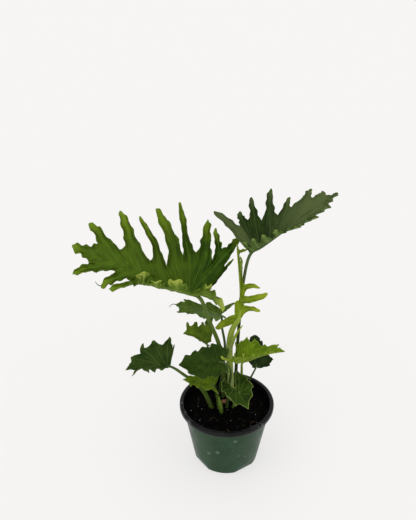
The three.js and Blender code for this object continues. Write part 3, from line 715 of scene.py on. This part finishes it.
def add_half_blade(shape, leaf, side):
    """One half of a blade: a flat sheet with columns along its edge and rows from the midrib out, drawn to
    the outline, thickened, and then carried onto the folded blade with its veins and ripples."""
    at = SimpleNamespace(**{name: shape.verts.layers.float[name] for name in BLADE_LAYERS})
    growth = shape.loops.layers.uv.verify()
    half = leaf.left if side > 0 else leaf.right
    lobes = lobes_of(leaf, half)
    columns = round((len(lobes) - 0.5) * leaf.columns)
    sheet = bmesh.ops.create_grid(shape, x_segments=columns, y_segments=leaf.rows, size=0.5)["verts"]
    grid = {}
    for vert in sheet:
        column = round((vert.co.x + 0.5) * columns)
        row = round((vert.co.y + 0.5) * leaf.rows)
        grid[column, row] = vert
        vert[at.column], vert[at.share] = column / leaf.columns, row / leaf.rows
        place, vert[at.lift], vert[at.tip] = flat_place(leaf, lobes, column / leaf.columns, row / leaf.rows)
        vert.co = (place.x, max(place.y, 0) if column < columns else 0, 0)
        for loop in vert.link_loops:
            loop[growth].uv = (vert[at.column], vert[at.share])
    inner = [vert for vert in sheet if not vert.is_boundary]
    for _ in range(SMOOTHINGS):
        bmesh.ops.smooth_vert(
            shape, verts=inner, factor=0.5, use_axis_x=True, use_axis_y=True, use_axis_z=True,
        )

    middles = [leaf.columns * i + leaf.columns // 2 for i in range(len(lobes))]
    veins = [[grid[column, row].co.copy() for row in range(leaf.rows + 1)] for column in middles]
    margin = [grid[0, row].co.copy() for row in range(leaf.rows + 1)]
    margin += [grid[column, leaf.rows].co.copy() for column in range(1, columns + 1)]
    to_vein, to_margin = distances_to(veins), distances_to([margin])
    reach = RIPPLE_REACH * leaf.ripple_length
    run = 0.0
    for column in range(columns + 1):
        outermost = grid[column, leaf.rows].co
        run += (outermost - grid[max(column - 1, 0), leaf.rows].co).length
        turns = math.tau * run / leaf.ripple_length
        ripple = leaf.ripple * half.frill * math.sin(turns + leaf.phase)
        ripple *= 1 + 0.5 * math.sin(turns / SLOW_RIPPLE + 2 * leaf.phase)
        lobe = lobes[min(column // leaf.columns, len(lobes) - 1)]
        before_vein = column % leaf.columns < leaf.columns / 2
        for row in range(leaf.rows + 1):
            vert = grid[column, row]
            share = row / leaf.rows
            vein = to_vein.find(vert.co)[2]
            vert[at.edge] = to_margin.find(vert.co)[2]
            vert[at.vein] = vein / (leaf.vein * part_way(1.0, VEIN_END, share))
            channel = leaf.channel * (math.hypot(vein, CHANNEL_ROUND) - CHANNEL_ROUND) * ease(0, 0.25, share)
            turned = lobe.twist * (-vein if before_vein else vein) * ease(0.1, 0.9, vert[at.tip])
            near_edge = math.exp(-vert[at.edge] / reach) * ease(0.15, 0.6, share)
            vert[at.lift] += channel + turned + ripple * near_edge

    below = {face for vert in sheet for face in vert.link_faces}
    raised = bmesh.ops.extrude_face_region(shape, geom=list(below))["geom"]
    upper = [item for item in raised if isinstance(item, bmesh.types.BMVert)]
    above = {item for item in raised if isinstance(item, bmesh.types.BMFace)}
    for verts, level in ((upper, 1), (sheet, -1)):
        for vert in verts:
            thickness = part_way(EDGE_THICKNESS, BLADE_THICKNESS, ease(0, 2, vert[at.edge]))
            mark = math.exp(-vert[at.vein] ** 2 / 2) * ease(0.02, 0.15, vert[at.share])
            relief = mark * (GROOVE if level > 0 else RIB)
            height = vert[at.lift] + level * thickness / 2 - relief
            vert.co = blade_point(leaf, half, side, vert.co.x, vert.co.y, height)
    faces = {face for vert in upper + sheet for face in vert.link_faces}
    for face in faces:
        face.smooth = True
        face.material_index = 0 if face in above else 1
    for face in faces - above - below:
        for edge in face.edges:
            edge.smooth = False
    bmesh.ops.recalc_face_normals(shape, faces=list(faces))


def grow_leaf(name, stands_for, slot, top, under, stem, **measures):
    """A leaf's two half blades, and its stalk, which runs on under the blade as its midrib. A thread is a
    dried lobe tip, or the sheath on the stalk: its points, and its radii from one end to the other."""
    leaf = SimpleNamespace(**{**HABITS, **measures})
    leaf.chance = random.Random(leaf.seed)
    leaf.phase = leaf.chance.uniform(0, math.tau)
    leaf.midrib = midrib_points(leaf)
    shape = bmesh.new()
    for layer in BLADE_LAYERS:
        shape.verts.layers.float.new(layer)
    shape.loops.layers.uv.new("growth")
    for side in (1, -1):
        add_half_blade(shape, leaf, side)

    foot = (*leaf.stalk[0], SOIL_LEVEL / MM - STALK_DEPTH)
    stalk = [Vector(point) for point in (foot, *leaf.stalk[1:])]
    ribs = []
    for share in MIDRIB_SHARES:
        point, _, up = midrib_frame(leaf, share * leaf.length)
        ribs.append(point - up * MIDRIB_SINK * part_way(leaf.stalk_radius[-1], RIB_TIP_RADIUS, share))
    stalk_length = sum((b - a).length for a, b in zip(stalk, stalk[1:]))
    junction = stalk_length / (stalk_length + leaf.length * MIDRIB_SHARES[-1])

    def radius_at(share):
        if share < junction:
            return between(leaf.stalk_radius, share / junction)
        return part_way(leaf.stalk_radius[-1], RIB_TIP_RADIUS, ((share - junction) / (1 - junction)) ** 0.6)

    add_tube(shape, smooth_path(stalk + ribs, 3), radius_at, STALK_SIDES, 2)
    if leaf.thread:
        points, radii = leaf.thread
        add_tube(shape, smooth_path(points, 0.8), lambda share: between(radii, share), THREAD_SIDES, 2)
    bmesh.ops.scale(shape, vec=(MM, MM, MM), verts=shape.verts)
    skins = [
        blade_top(name + "_top", **top), blade_under(name + "_under", **under),
        stalk_skin(name + "_stalk", *stem),
    ]
    make_piece(name, shape, skins, stands_for)


def growth_map(tree):
    """The two directions of a surface's growth map: across and along it."""
    return node(tree, "SeparateXYZ", {"Vector": node(tree, "UVMap", uv_map="growth").outputs["UV"]}).outputs


# Every blade's skin has the same marks: side veins, fine veins between, a pale edge, and paler lobe tips.
tree, given = new_group("blade_marks", {"Fine Veins": 16.0, "Edge Width": 0.7, "Vein Width": 1.0})
cloud = noise_in(tree, object_place(tree), 75.0)
outermost = maths(tree, "ADD", attribute(tree, "tip"), times(tree, cloud, 0.35))
growth = growth_map(tree)
across, outwards = times(tree, growth["X"], given["Fine Veins"]), times(tree, growth["Y"], 2.5)
growing = node(tree, "CombineXYZ", {"X": across, "Y": outwards}).outputs["Vector"]
finish_group(tree, {
    "Vein": eased(tree, maths(tree, "DIVIDE", attribute(tree, "vein"), given["Vein Width"]), 1.1, 0.3),
    "Edge": eased(tree, maths(tree, "DIVIDE", attribute(tree, "edge"), given["Edge Width"]), 1.0, 0.4),
    "Base": eased(tree, attribute(tree, "share"), 0.4, 0.05),
    "First": eased(tree, attribute(tree, "column"), 1.4, 0.8),
    "Far": eased(tree, attribute(tree, "column"), 2.8, 6.5),
    "Cloud": eased(tree, cloud, 0.3, 0.7),
    "Tip": eased(tree, outermost, 0.45, 1.15),
    "Fine": eased(tree, noise_in(tree, growing, 1.0, 2.0), 0.34, 0.66),
})


def blade_top(name, deep, light, vein, edge, tip, veins=0.6, edges=0.7, tips=0.6, clouds=0.5, lines=0.45,
              roughness=0.4, edge_width=0.7, base=0.0, first=0.0, far=0.0, far_paint=None):
    """The glossy upper skin of a blade: its colours, and how strongly each mark shows."""
    material, tree, shader = new_material(name)
    marks = use_group(tree, "blade_marks", {"Edge Width": edge_width})
    lightness = maths(tree, "ADD", times(tree, marks["Fine"], lines), times(tree, marks["Cloud"], clouds))
    colour = blend(tree, lightness, deep, light)
    layers = (
        ("First", first, tip), ("Far", far, far_paint or tip), ("Base", base, vein), ("Tip", tips, tip),
        ("Vein", veins, vein), ("Edge", edges, edge),
    )
    for mark, strength, paint in layers:
        colour = blend(tree, times(tree, marks[mark], strength), colour, paint)
    gloss = eased(tree, marks["Cloud"], 0, 1, roughness - 0.06, roughness + 0.08)
    finish_skin(tree, shader, colour, gloss, marks["Fine"], depth=0.00012, specular=0.05)
    return material


def blade_under(name, pale, deep, vein, tip=None):
    """The dull, paler underside of a blade, with its raised veins and, on some, brighter lobe tips."""
    material, tree, shader = new_material(name)
    marks = use_group(tree, "blade_marks", {"Fine Veins": 22.0, "Edge Width": 0.6, "Vein Width": 1.6})
    colour = blend(tree, marks["Cloud"], pale, deep)
    for mark, strength, paint in (("Fine", 0.35, deep), ("Tip", 0.8, tip or pale), ("Vein", 0.7, vein)):
        colour = blend(tree, times(tree, marks[mark], strength), colour, paint)
    finish_skin(tree, shader, colour, 0.6, marks["Fine"], depth=0.00018, specular=0.05)
    return material


def stalk_skin(name, base, middle, top, streak):
    """A stalk's smooth skin, from the soil to the tip of the midrib, with fine paler lines along it."""
    material, tree, shader = new_material(name)
    share = attribute(tree, "tip")
    growth = growth_map(tree)
    turn = times(tree, growth["X"], math.tau)
    lengthwise = node(tree, "CombineXYZ", {
        "X": times(tree, maths(tree, "SINE", turn), 3.0),
        "Y": times(tree, maths(tree, "COSINE", turn), 3.0),
        "Z": times(tree, growth["Y"], 0.05),
    }).outputs["Vector"]
    strands = noise_in(tree, lengthwise, 1.6, 4.0)
    colour = blend(tree, eased(tree, share, 0.0, 0.35), base, middle)
    colour = blend(tree, eased(tree, share, 0.35, 0.8), colour, top)
    colour = blend(tree, eased(tree, strands, 0.5, 0.72, 0, 0.7), colour, streak)
    finish_skin(tree, shader, colour, 0.42, strands, depth=0.0002, specular=0.08)
    return material


# A stalk's paints, at its foot, in its middle and at its top, and the paint of its lines.
GREEN_STALK = ((0.045, 0.075, 0.012), (0.07, 0.115, 0.015), (0.13, 0.19, 0.04), (0.2, 0.27, 0.07))
grow_leaf(
    "large_left_leaf", "leaf_large_left", "mid_green_leaf",
    top=dict(
        deep=(0.009, 0.028, 0.0012), light=(0.065, 0.138, 0.008), vein=(0.11, 0.2, 0.02),
        edge=(0.16, 0.24, 0.03), tip=(0.25, 0.37, 0.02), veins=0.45, edges=0.5, tips=0.5, clouds=0.25,
        lines=0.6, base=0.12, far=0.15, roughness=0.42,
    ),
    under=dict(
        pale=(0.17, 0.25, 0.03), deep=(0.07, 0.13, 0.01), vein=(0.3, 0.38, 0.1), tip=(0.42, 0.5, 0.08),
    ),
    stem=GREEN_STALK, stalk_radius=(4, 3),
    stalk=[(-7, 27), (-4, 24, 143), (-13, 13, 219), (-30, 5, 275), (-45, 0, 321)], length=212, yaw=181,
    turn=-26, pitch=27, arch=16, finger=9, flare=0.17, blunt=7, taper=0.35, fan=1, columns=52, rows=36,
    snake=1.8, twist=0.3, wobble=0.2, waves=2.6, ripple=1.4, ripple_length=14, channel=0.18, vein=0.7,
    seed=3,
    left=half_blade(
        end=(-8, 12), tip_breadth=1.5, frill=2.2, fold=(35, 13, 0, -14, -24, -22, -18, -20, -22, -22, -22),
        curl=(-0.8, -1.2, -1.5, -1.8, -2, -1.1, 0.1, 0.1, 0.1, 0.1, 0.1),
        lobes=[
            (-30, 42, -1, 46, 0, -20, 1.6), (4, 58, 22, 40, 2, 0, 1.4), (52, 62, 58, 44, 0, 0, 1.6),
            (72, 54, 80, 44, 0, 0, 1.6), (97, 78, 96, 42, 3, 0, 1.3), (130, 44, 104, 18, 3, -5, 1.3),
            (141, 46, 133, 14, -2, -4, 1.2), (187, 45, 174, 17, -3, 0, 1.3),
        ],
    ),
    right=half_blade(end=(-17, 30), frill=1.7, fold=(56, 53, 47, 41, 34), curl=(0.12, 0.12), lobes=[
        (-31, 77, -22, 66), (-31, 115, -9, 87, 0, 0, 1.3), (14, 110, 0, 60, 2, 0),
        (29, 119, 30, 62, 0, 0, 1.2), (83, 130, 46, 48, -1, 0), (116, 106, 65, 26, 7, 0, 1.3),
        (136, 82, 91, 23, 7, 0), (169, 81, 141, 22, 2, 0, 1.1), (207, 44, 181, 14, 2, 0, 1.2),
    ]),
    thread=([(-189, -22, 356), (-193, -22, 357), (-197, -22, 361), (-198, -22, 365)], (0.8, 0.7, 0.5, 0.3)),
)


# The upper right leaf. A dark, older blade that stands up and cups inwards, with a pale midrib and the torn
# looking, thin curled lobes of its near half. Its stalk comes up from the back of the pot.
DARK_STALK = ((0.03, 0.055, 0.01), (0.035, 0.065, 0.012), (0.09, 0.135, 0.045), (0.15, 0.2, 0.08))
grow_leaf(
    "upper_right_leaf", "leaf_upper_right", "dark_green_leaf",
    # far=0.7 paints this leaf's far lobes paler and greyer with the tip colour: a painted sheen.
    top=dict(
        deep=(0.004, 0.013, 0.002), light=(0.035, 0.065, 0.01), vein=(0.09, 0.13, 0.04),
        edge=(0.1, 0.15, 0.04), tip=(0.12, 0.16, 0.055), edges=0.5, tips=0.4, clouds=0.2, lines=0.9,
        first=0.6, far=0.7, base=0.1, roughness=0.45,
    ),
    under=dict(
        pale=(0.13, 0.2, 0.05), deep=(0.06, 0.11, 0.02), vein=(0.22, 0.29, 0.12), tip=(0.2, 0.28, 0.06),
    ),
    stem=DARK_STALK, stalk_radius=(3, 2.4),
    stalk=[(14, 40), (16, 43, 144), (19, 46, 225), (25, 46, 321), (36, 45, 373)], length=161, yaw=3.6,
    turn=8, pitch=37.3, arch=2, finger=8, flare=0.2, blunt=6, taper=0.35, fan=1, columns=44, rows=34,
    snake=1.6, twist=0.28, wobble=0.18, waves=2.4, ripple=1.2, ripple_length=13, channel=0.16, vein=0.65,
    seed=5,
    left=half_blade(end=(-5, 14), fold=(52, 50, 47, 43, 38), curl=(0.12, 0.12), lobes=[
        (-18, 91, 7, 46, -2, 0, 1.3), (17, 66, 22, 47, 0, 0, 1.6), (45, 75, 41, 33, -1, 0), (79, 68, 67, 26),
        (97, 39, 95, 25), (131, 31, 131, 17, -2, 0), (145, 15, 148, 6),
    ]),
    right=half_blade(
        end=(-1, 6), frill=2.2, fold=(65, 35, 8, 0, -5, -10, -12, -12, -12, -10, -10),
        curl=(-0.8, -3, -4.5, -4.5, -4, -2.5, -1.5, -1, -0.8, -0.5, -0.5),
        lobes=[
            (3, 30, 10, 20), (18, 27, 24, 16), (34, 27, 42, 14), (54, 26, 62, 13), (92, 26, 82, 11),
            (118, 20, 112, 12), (141, 14, 146, 8),
        ],
    ),
)


# The young leaf. It has not long unrolled and still stands upright, seen nearly edge on, with bright yellow-
# green fingers. Its stalk is the thickest and palest, and the dry tip of a sheath stands off from it.
grow_leaf(
    "young_upright_leaf", "leaf_young_upright", "bright_green_leaf",
    top=dict(
        deep=(0.08, 0.14, 0.004), light=(0.27, 0.37, 0.015), vein=(0.34, 0.42, 0.06),
        edge=(0.36, 0.42, 0.05), tip=(0.38, 0.44, 0.03), veins=0.4, edges=0.5, base=0.1, far=0.7,
        far_paint=(0.09, 0.17, 0.01), roughness=0.45,
    ),
    under=dict(pale=(0.22, 0.32, 0.04), deep=(0.12, 0.2, 0.015), vein=(0.36, 0.44, 0.12)),
    stem=((0.46, 0.54, 0.22), (0.3, 0.39, 0.07), (0.32, 0.42, 0.04), (0.1, 0.17, 0.02)),
    stalk_radius=(5.4, 5.2, 5.4, 5.4, 3.5),
    stalk=[(7, 20), (7, 22, 129), (4, 26, 210), (8, 29, 238), (19, 30, 261)], length=127, yaw=62, turn=106,
    pitch=74, arch=-10, finger=5.5, wide=0.8, flare=0.13, blunt=6, taper=0.3, fan=1, columns=32, rows=28,
    snake=1.2, twist=0.2, wobble=0.12, waves=2, ripple=0.8, ripple_length=11, seed=7,
    left=half_blade(end=(-14, 3), fold=(5, 30, 55, 65, 68, 64), curl=(0.1, 0.1), lobes=[
        (-30, 37, 4, 8, -3, 0, 1.3), (30, 8, 44, 3), (98, 10, 112, 4),
    ]),
    right=half_blade(end=(2, 5), fold=(5, 12, 28, 42, 55, 60), lobes=[
        (17, 33, 25, 5, -4, 0, 0.8), (42, 43, 38, 6, 1, 0, 1.1), (51, 31, 60, 3, -5, 0, 0.8),
        (104, 5, 109, 3), (114, 17, 118, 3, 0, 0, 0.6),
    ]),
    thread=([(5, 23, 204), (9.5, 17.5, 225), (15.5, 14.5, 243), (24, 14, 258)], (3.4, 2.7, 1.9, 0.7)),
)


# The upper dark leaf. A living blade, dark green and glossy, behind the stalk of the large left leaf and in
# its shade. One of its lobes ends in a thin dried point.
DARK_UNDER = dict(pale=(0.12, 0.18, 0.05), deep=(0.06, 0.1, 0.02), vein=(0.2, 0.27, 0.1))
grow_leaf(
    "dark_upper_leaf", "leaf_dark_upper", "dark_green_leaf",
    top=dict(
        deep=(0.03, 0.07, 0.006), light=(0.14, 0.22, 0.03), vein=(0.1, 0.16, 0.03), edge=(0.13, 0.2, 0.04),
        tip=(0.1, 0.16, 0.02),
    ),
    under=DARK_UNDER, stem=DARK_STALK, stalk_radius=(2.8, 1.8),
    stalk=[(-13, 38), (-3, 49, 190), (-8, 58, 222), (-10, 61, 245.5)], length=80, yaw=-174.9, turn=8,
    pitch=31.8, arch=22, finger=6.5, flare=0.3, blunt=5, seed=11,
    left=half_blade(end=(-6, 10), fold=(24, 0), lobes=[
        (-8, 22, 5, 18), (19, 42, 28, 36, 0, 0, 1.3), (39, 39, 52, 26), (66, 26, 70, 24), (82, 21, 77, 14),
    ]),
    right=half_blade(end=(-8, 10), fold=(40, 24), curl=(0.2, 0.2), lobes=[
        (-20, 31, 5, 9, 0, 0, 1.4), (27, 13, 42, 6), (66, 10, 71, 6, 0, 0, 1.3),
    ]),
    thread=([(-82, 49, 273), (-86, 49, 274.5), (-90, 49, 273), (-94, 49, 267)], (0.7, 0.6, 0.5, 0.3)),
)


# The lower dark leaf. A smaller dark green blade just under the last one. Its thin stalk comes up from
# behind the pot's middle and leans to the left.
grow_leaf(
    "dark_lower_leaf", "leaf_dark_lower", "dark_green_leaf",
    top=dict(
        deep=(0.05, 0.1, 0.005), light=(0.21, 0.31, 0.02), vein=(0.12, 0.18, 0.03), edge=(0.15, 0.22, 0.04),
        tip=(0.14, 0.2, 0.02),
    ),
    under=dict(pale=(0.14, 0.2, 0.05), deep=(0.07, 0.12, 0.02), vein=(0.22, 0.29, 0.1)),
    stem=DARK_STALK, stalk_radius=(2.4, 1.6),
    stalk=[(-13, 22), (-24, 24, 160), (-30, 25, 196), (-33, 25, 213)], length=51, yaw=-164.7, turn=12,
    pitch=50.6, arch=26, finger=6, flare=0.3, blunt=5, seed=13,
    left=half_blade(end=(-5, 8), fold=(20, 0), lobes=[
        (-8, 22, 4, 16), (14, 22, 18, 12), (28, 14, 30, 7),
    ]),
    right=half_blade(end=(-6, 8), fold=(48, 40), curl=(0.1, 0.1), lobes=[
        (9, 52, 12, 27, -3, 0, 2), (18, 30, 23, 19), (28, 26, 36, 16), (43, 21, 45, 8),
    ]),
)


# The left leaf. A dark blade with clear pale veins, low over the pot's left rim. Its stout stalk grows from
# near the pot's middle and leans out past the rim.
grow_leaf(
    "left_leaf", "leaf_left", "dark_green_leaf",
    top=dict(
        deep=(0.01, 0.03, 0.004), light=(0.055, 0.098, 0.015), vein=(0.13, 0.19, 0.05),
        edge=(0.12, 0.18, 0.04), tip=(0.07, 0.11, 0.015), veins=0.75,
    ),
    under=DARK_UNDER, stem=GREEN_STALK, stalk_radius=(4.6, 2),
    stalk=[(-19, 4), (-41, -2, 141), (-68, -8, 174), (-91, -10, 194)], length=74, yaw=-168.9, turn=14,
    pitch=19.1, arch=20, finger=7, flare=0.35, blunt=4, seed=17,
    left=half_blade(end=(-6, 10), fold=(30, 5), lobes=[
        (-8, 18, 6, 13), (24, 25, 28, 18), (35, 29, 38, 19), (43, 25, 52, 7), (72, 21, 62, 8),
    ]),
    right=half_blade(end=(-1, 12), fold=(42, 30), curl=(0.1, 0.1), lobes=[
        (-4, 38, -1, 36), (3, 49, 14, 34), (25, 42, 34, 31), (39, 38, 46, 21, -2, 0), (61, 18, 66, 8),
    ]),
)


# The centre leaf. A dark, nearly oval blade with a scalloped edge, a hand's width over the soil. Its thin
# stalk grows from the pot's middle.
grow_leaf(
    "centre_leaf", "leaf_centre", "dark_green_leaf",
    top=dict(
        deep=(0.008, 0.026, 0.002), light=(0.043, 0.08, 0.008), vein=(0.08, 0.12, 0.03),
        edge=(0.08, 0.13, 0.03), tip=(0.06, 0.1, 0.012), veins=0.5,
    ),
    under=DARK_UNDER, stem=DARK_STALK, stalk_radius=(2.8, 1.8),
    stalk=[(-1, 1), (3, -4, 145), (4, -12, 193), (-8, -14, 206)], length=72, yaw=-171.4, turn=12, pitch=12.8,
    arch=12, roll=-26, finger=9, flare=0.5, blunt=3, seed=19,
    left=half_blade(end=(-6, 6), fold=(16, 0), curl=(0.25, 0.25), lobes=[
        (-8, 20, 2, 20), (17, 32, 26, 29), (36, 32, 48, 25), (62, 15, 66, 8),
    ]),
    right=half_blade(end=(-6, 6), fold=(20, 12), curl=(0.25, 0.25), lobes=[
        (-10, 22, 2, 26), (18, 29, 24, 24), (30, 25, 36, 19), (41, 20, 50, 13), (58, 14, 64, 7),
    ]),
)


# The low left leaf. A small bright blade, one of the lowest over the soil. Its thin stalk grows from just
# left of the pot's middle and leans forwards.
grow_leaf(
    "low_left_leaf", "leaf_low_left", "bright_green_leaf",
    top=dict(
        deep=(0.045, 0.1, 0.003), light=(0.18, 0.27, 0.01), vein=(0.22, 0.3, 0.05), edge=(0.24, 0.32, 0.06),
        tip=(0.2, 0.28, 0.03),
    ),
    under=dict(pale=(0.18, 0.26, 0.06), deep=(0.1, 0.16, 0.02), vein=(0.28, 0.36, 0.12)),
    stem=GREEN_STALK, stalk_radius=(2.8, 1.8),
    stalk=[(-12, -1), (-16, -3, 130), (-20, -12, 148), (-24, -20, 163)], length=56, yaw=-167.6, turn=12,
    pitch=33.8, arch=14, finger=7, flare=0.4, blunt=3, seed=23,
    left=half_blade(end=(-4, 6), fold=(5, -22), lobes=[
        (-8, 18, 4, 12), (19, 18, 26, 11), (31, 14, 38, 9), (45, 12, 48, 4),
    ]),
    right=half_blade(end=(-6, 6), fold=(40, 30), curl=(0.2, 0.2), lobes=[
        (-11, 28, -3, 20), (6, 18, 14, 12), (24, 12, 36, 7), (44, 8, 48, 4),
    ]),
)


# The front leaf. A small heart-shaped blade that hangs over the front of the soil, with pale veins that fan
# out to the teeth of its pale edge.
grow_leaf(
    "front_leaf", "leaf_front", "mid_green_leaf",
    top=dict(
        deep=(0.007, 0.023, 0.0015), light=(0.04, 0.08, 0.006), vein=(0.15, 0.22, 0.05),
        edge=(0.22, 0.3, 0.07), tip=(0.06, 0.11, 0.012), veins=0.8, edges=0.9, edge_width=1.1,
    ),
    under=dict(pale=(0.14, 0.21, 0.06), deep=(0.07, 0.12, 0.02), vein=(0.24, 0.32, 0.12)),
    stem=GREEN_STALK, stalk_radius=(2.4, 1.6), stalk=[(6, 2), (15, -6, 125), (17, -18, 157), (12, -20, 158)],
    length=45, yaw=-61.7, turn=0, pitch=-1.5, arch=26, finger=9, flare=0.5, blunt=3, seed=29,
    left=half_blade(end=(-3, 4), fold=(18, 6), lobes=[
        (-30, 21, -16, 25, 0, 0, 1.6), (-3, 28, 3, 26), (14, 27, 19, 20), (28, 17, 32, 10),
    ]),
    right=half_blade(end=(-3, 4), fold=(14, 6), lobes=[
        (-29, 4, -22, 12), (-11, 19, -5, 22), (1, 25, 6, 22), (18, 21, 22, 19), (33, 18, 34, 9),
    ]),
)


# The right leaf. A bright young blade on the right, over the rim. Its stalk, paler towards the top, grows
# from right of the pot's middle.
grow_leaf(
    "right_leaf", "leaf_right", "bright_green_leaf",
    top=dict(
        deep=(0.05, 0.115, 0.003), light=(0.21, 0.32, 0.012), vein=(0.25, 0.34, 0.05),
        edge=(0.3, 0.38, 0.07), tip=(0.24, 0.32, 0.03),
    ),
    under=dict(
        pale=(0.24, 0.34, 0.03), deep=(0.14, 0.22, 0.012), vein=(0.34, 0.42, 0.1), tip=(0.42, 0.52, 0.06),
    ),
    stem=((0.08, 0.13, 0.015), (0.13, 0.2, 0.02), (0.24, 0.33, 0.05), (0.3, 0.38, 0.1)),
    stalk_radius=(3, 1.8), stalk=[(13, 12), (24, 14, 136), (24, 10, 169), (25, 2, 193)], length=79,
    yaw=-12.6, turn=-12, pitch=37.6, arch=16, finger=8, flare=0.4, blunt=3, seed=31,
    left=half_blade(end=(-7, 12), fold=(34, 20), curl=(0.2, 0.2), lobes=[
        (-9, 42, -2, 36), (3, 40, 5, 38), (12, 43, 16, 32), (23, 35, 34, 19), (40, 20, 46, 14),
        (66, 15, 69, 8),
    ]),
    right=half_blade(end=(-4, 6), frill=2.5, fold=(44, 40, 38, 36), curl=(-0.6, -0.6), lobes=[
        (-11, 45, -2, 30, 0, 0, 0.8), (12, 40, 9, 25, 0, 0, 0.8), (25, 33, 18, 13, 0, 0, 0.8),
        (31, 12, 38, 7), (49, 10, 56, 6), (67, 7, 71, 4),
    ]),
)


# The back right leaf. A very dark, smooth, rounded blade that stands behind the right leaf. Its stalk, the
# thinnest of them all, leans out to the right.
grow_leaf(
    "back_right_leaf", "leaf_back_right", "dark_green_leaf",
    top=dict(
        deep=(0.007, 0.019, 0.004), light=(0.038, 0.065, 0.016), vein=(0.03, 0.05, 0.02),
        edge=(0.04, 0.06, 0.02), tip=(0.02, 0.035, 0.01), veins=0.3, edges=0.3,
    ),
    under=dict(pale=(0.07, 0.11, 0.03), deep=(0.03, 0.06, 0.015), vein=(0.12, 0.16, 0.06)),
    stem=DARK_STALK, stalk_radius=(2, 1.4), stalk=[(18, 22), (31, 26, 106), (38, 30, 132), (49, 34, 159)],
    length=53, yaw=100, turn=-10, pitch=62, arch=0, roll=-20, finger=9, flare=0.6, blunt=2.4, taper=0.4,
    seed=37,
    left=half_blade(end=(-3, 2), tip_breadth=2, fold=(10, 4), curl=(0.2, 0.2), lobes=[
        (0, 7, 3, 8), (12, 14, 18, 18), (28, 18, 34, 15), (44, 12, 46, 9),
    ]),
    right=half_blade(end=(-3, 2), tip_breadth=2, fold=(10, 4), curl=(0.2, 0.2), lobes=[
        (-2, 12, -1, 16), (2, 24, 6, 26), (12, 30, 18, 25), (30, 17, 36, 14), (44, 12, 46, 9),
    ]),
)


# The short shoot. A new growth, pale green and smooth, that has just come up in front of the stalks. It
# grows straight out of the soil and narrows to a blunt point.
SHOOT_POINTS = [(-9, -11, 80), (-9, -11, 100), (-11, -10, 117), (-14, -9, 131)]
SHOOT_RADII = (3.4, 3.4, 3.2, 1.2)
SHOOT_SIDES = 24
shoot_skin = stalk_skin(
    "shoot_skin", base=(0.04, 0.08, 0.007), middle=(0.06, 0.115, 0.009), top=(0.15, 0.23, 0.03),
    streak=(0.22, 0.32, 0.06),
)
shoot = bmesh.new()
shoot.verts.layers.float.new("tip")
shoot.loops.layers.uv.new("growth")
add_tube(shoot, smooth_path(SHOOT_POINTS, 1.0), lambda share: between(SHOOT_RADII, share), SHOOT_SIDES)
bmesh.ops.scale(shoot, vec=(MM, MM, MM), verts=shoot.verts)
make_piece("young_shoot", shoot, [shoot_skin], "short_shoot")


# The setting. A plain pale floor under a soft white sky, one very soft light from the upper left, and the
# camera, which looks down on the plant.
FLOOR_HALF = 8.0
FLOOR_CELLS = 8
FLOOR_HEIGHT = -0.0002
SKY_STRENGTH = 0.87
KEY_STRENGTH = 0.4
KEY_SOFTNESS = 50
KEY_TILT = 32
KEY_TURN = -38
CAMERA_PLACE = (-0.031, -1.1061, 1.0711)
CAMERA_DOWN = 31.7
LONG_SIDE_VIEW = 33.2
SENSOR = 36
pale_floor, tree, shader = new_material("pale_floor")
shader.inputs["Base Color"].default_value = (0.3, 0.297, 0.294, 1)
shader.inputs["Emission Color"].default_value = (1, 0.99, 0.98, 1)
shader.inputs["Emission Strength"].default_value = 0.635
shader.inputs["Roughness"].default_value = 0.9
shader.inputs["Specular IOR Level"].default_value = 0.0
ground = bmesh.new()
bmesh.ops.create_grid(ground, x_segments=FLOOR_CELLS, y_segments=FLOOR_CELLS, size=FLOOR_HALF)
bmesh.ops.translate(ground, vec=(0, 0, FLOOR_HEIGHT), verts=ground.verts)
from_shape("floor", ground, [pale_floor])

sky = bpy.data.worlds.new("soft_white_sky")
sky.use_nodes = True
sky.node_tree.nodes["Background"].inputs["Color"].default_value = (1, 0.995, 0.985, 1)
sky.node_tree.nodes["Background"].inputs["Strength"].default_value = SKY_STRENGTH
bpy.context.scene.world = sky
key_light = bpy.data.lights.new("soft_key", "SUN")
key_light.energy = KEY_STRENGTH
key_light.angle = math.radians(KEY_SOFTNESS)
add_object("soft_key", key_light).rotation_euler = (math.radians(KEY_TILT), 0, math.radians(KEY_TURN))
bpy.context.scene.view_settings.view_transform = "Standard"

lens = bpy.data.cameras.new("camera")
lens.sensor_width = SENSOR
lens.lens = SENSOR / 2 / math.tan(math.radians(LONG_SIDE_VIEW / 2))
camera = add_object("camera", lens)
camera.location = CAMERA_PLACE
camera.rotation_euler = (math.radians(90 - CAMERA_DOWN), 0, 0)
bpy.context.scene.camera = camera
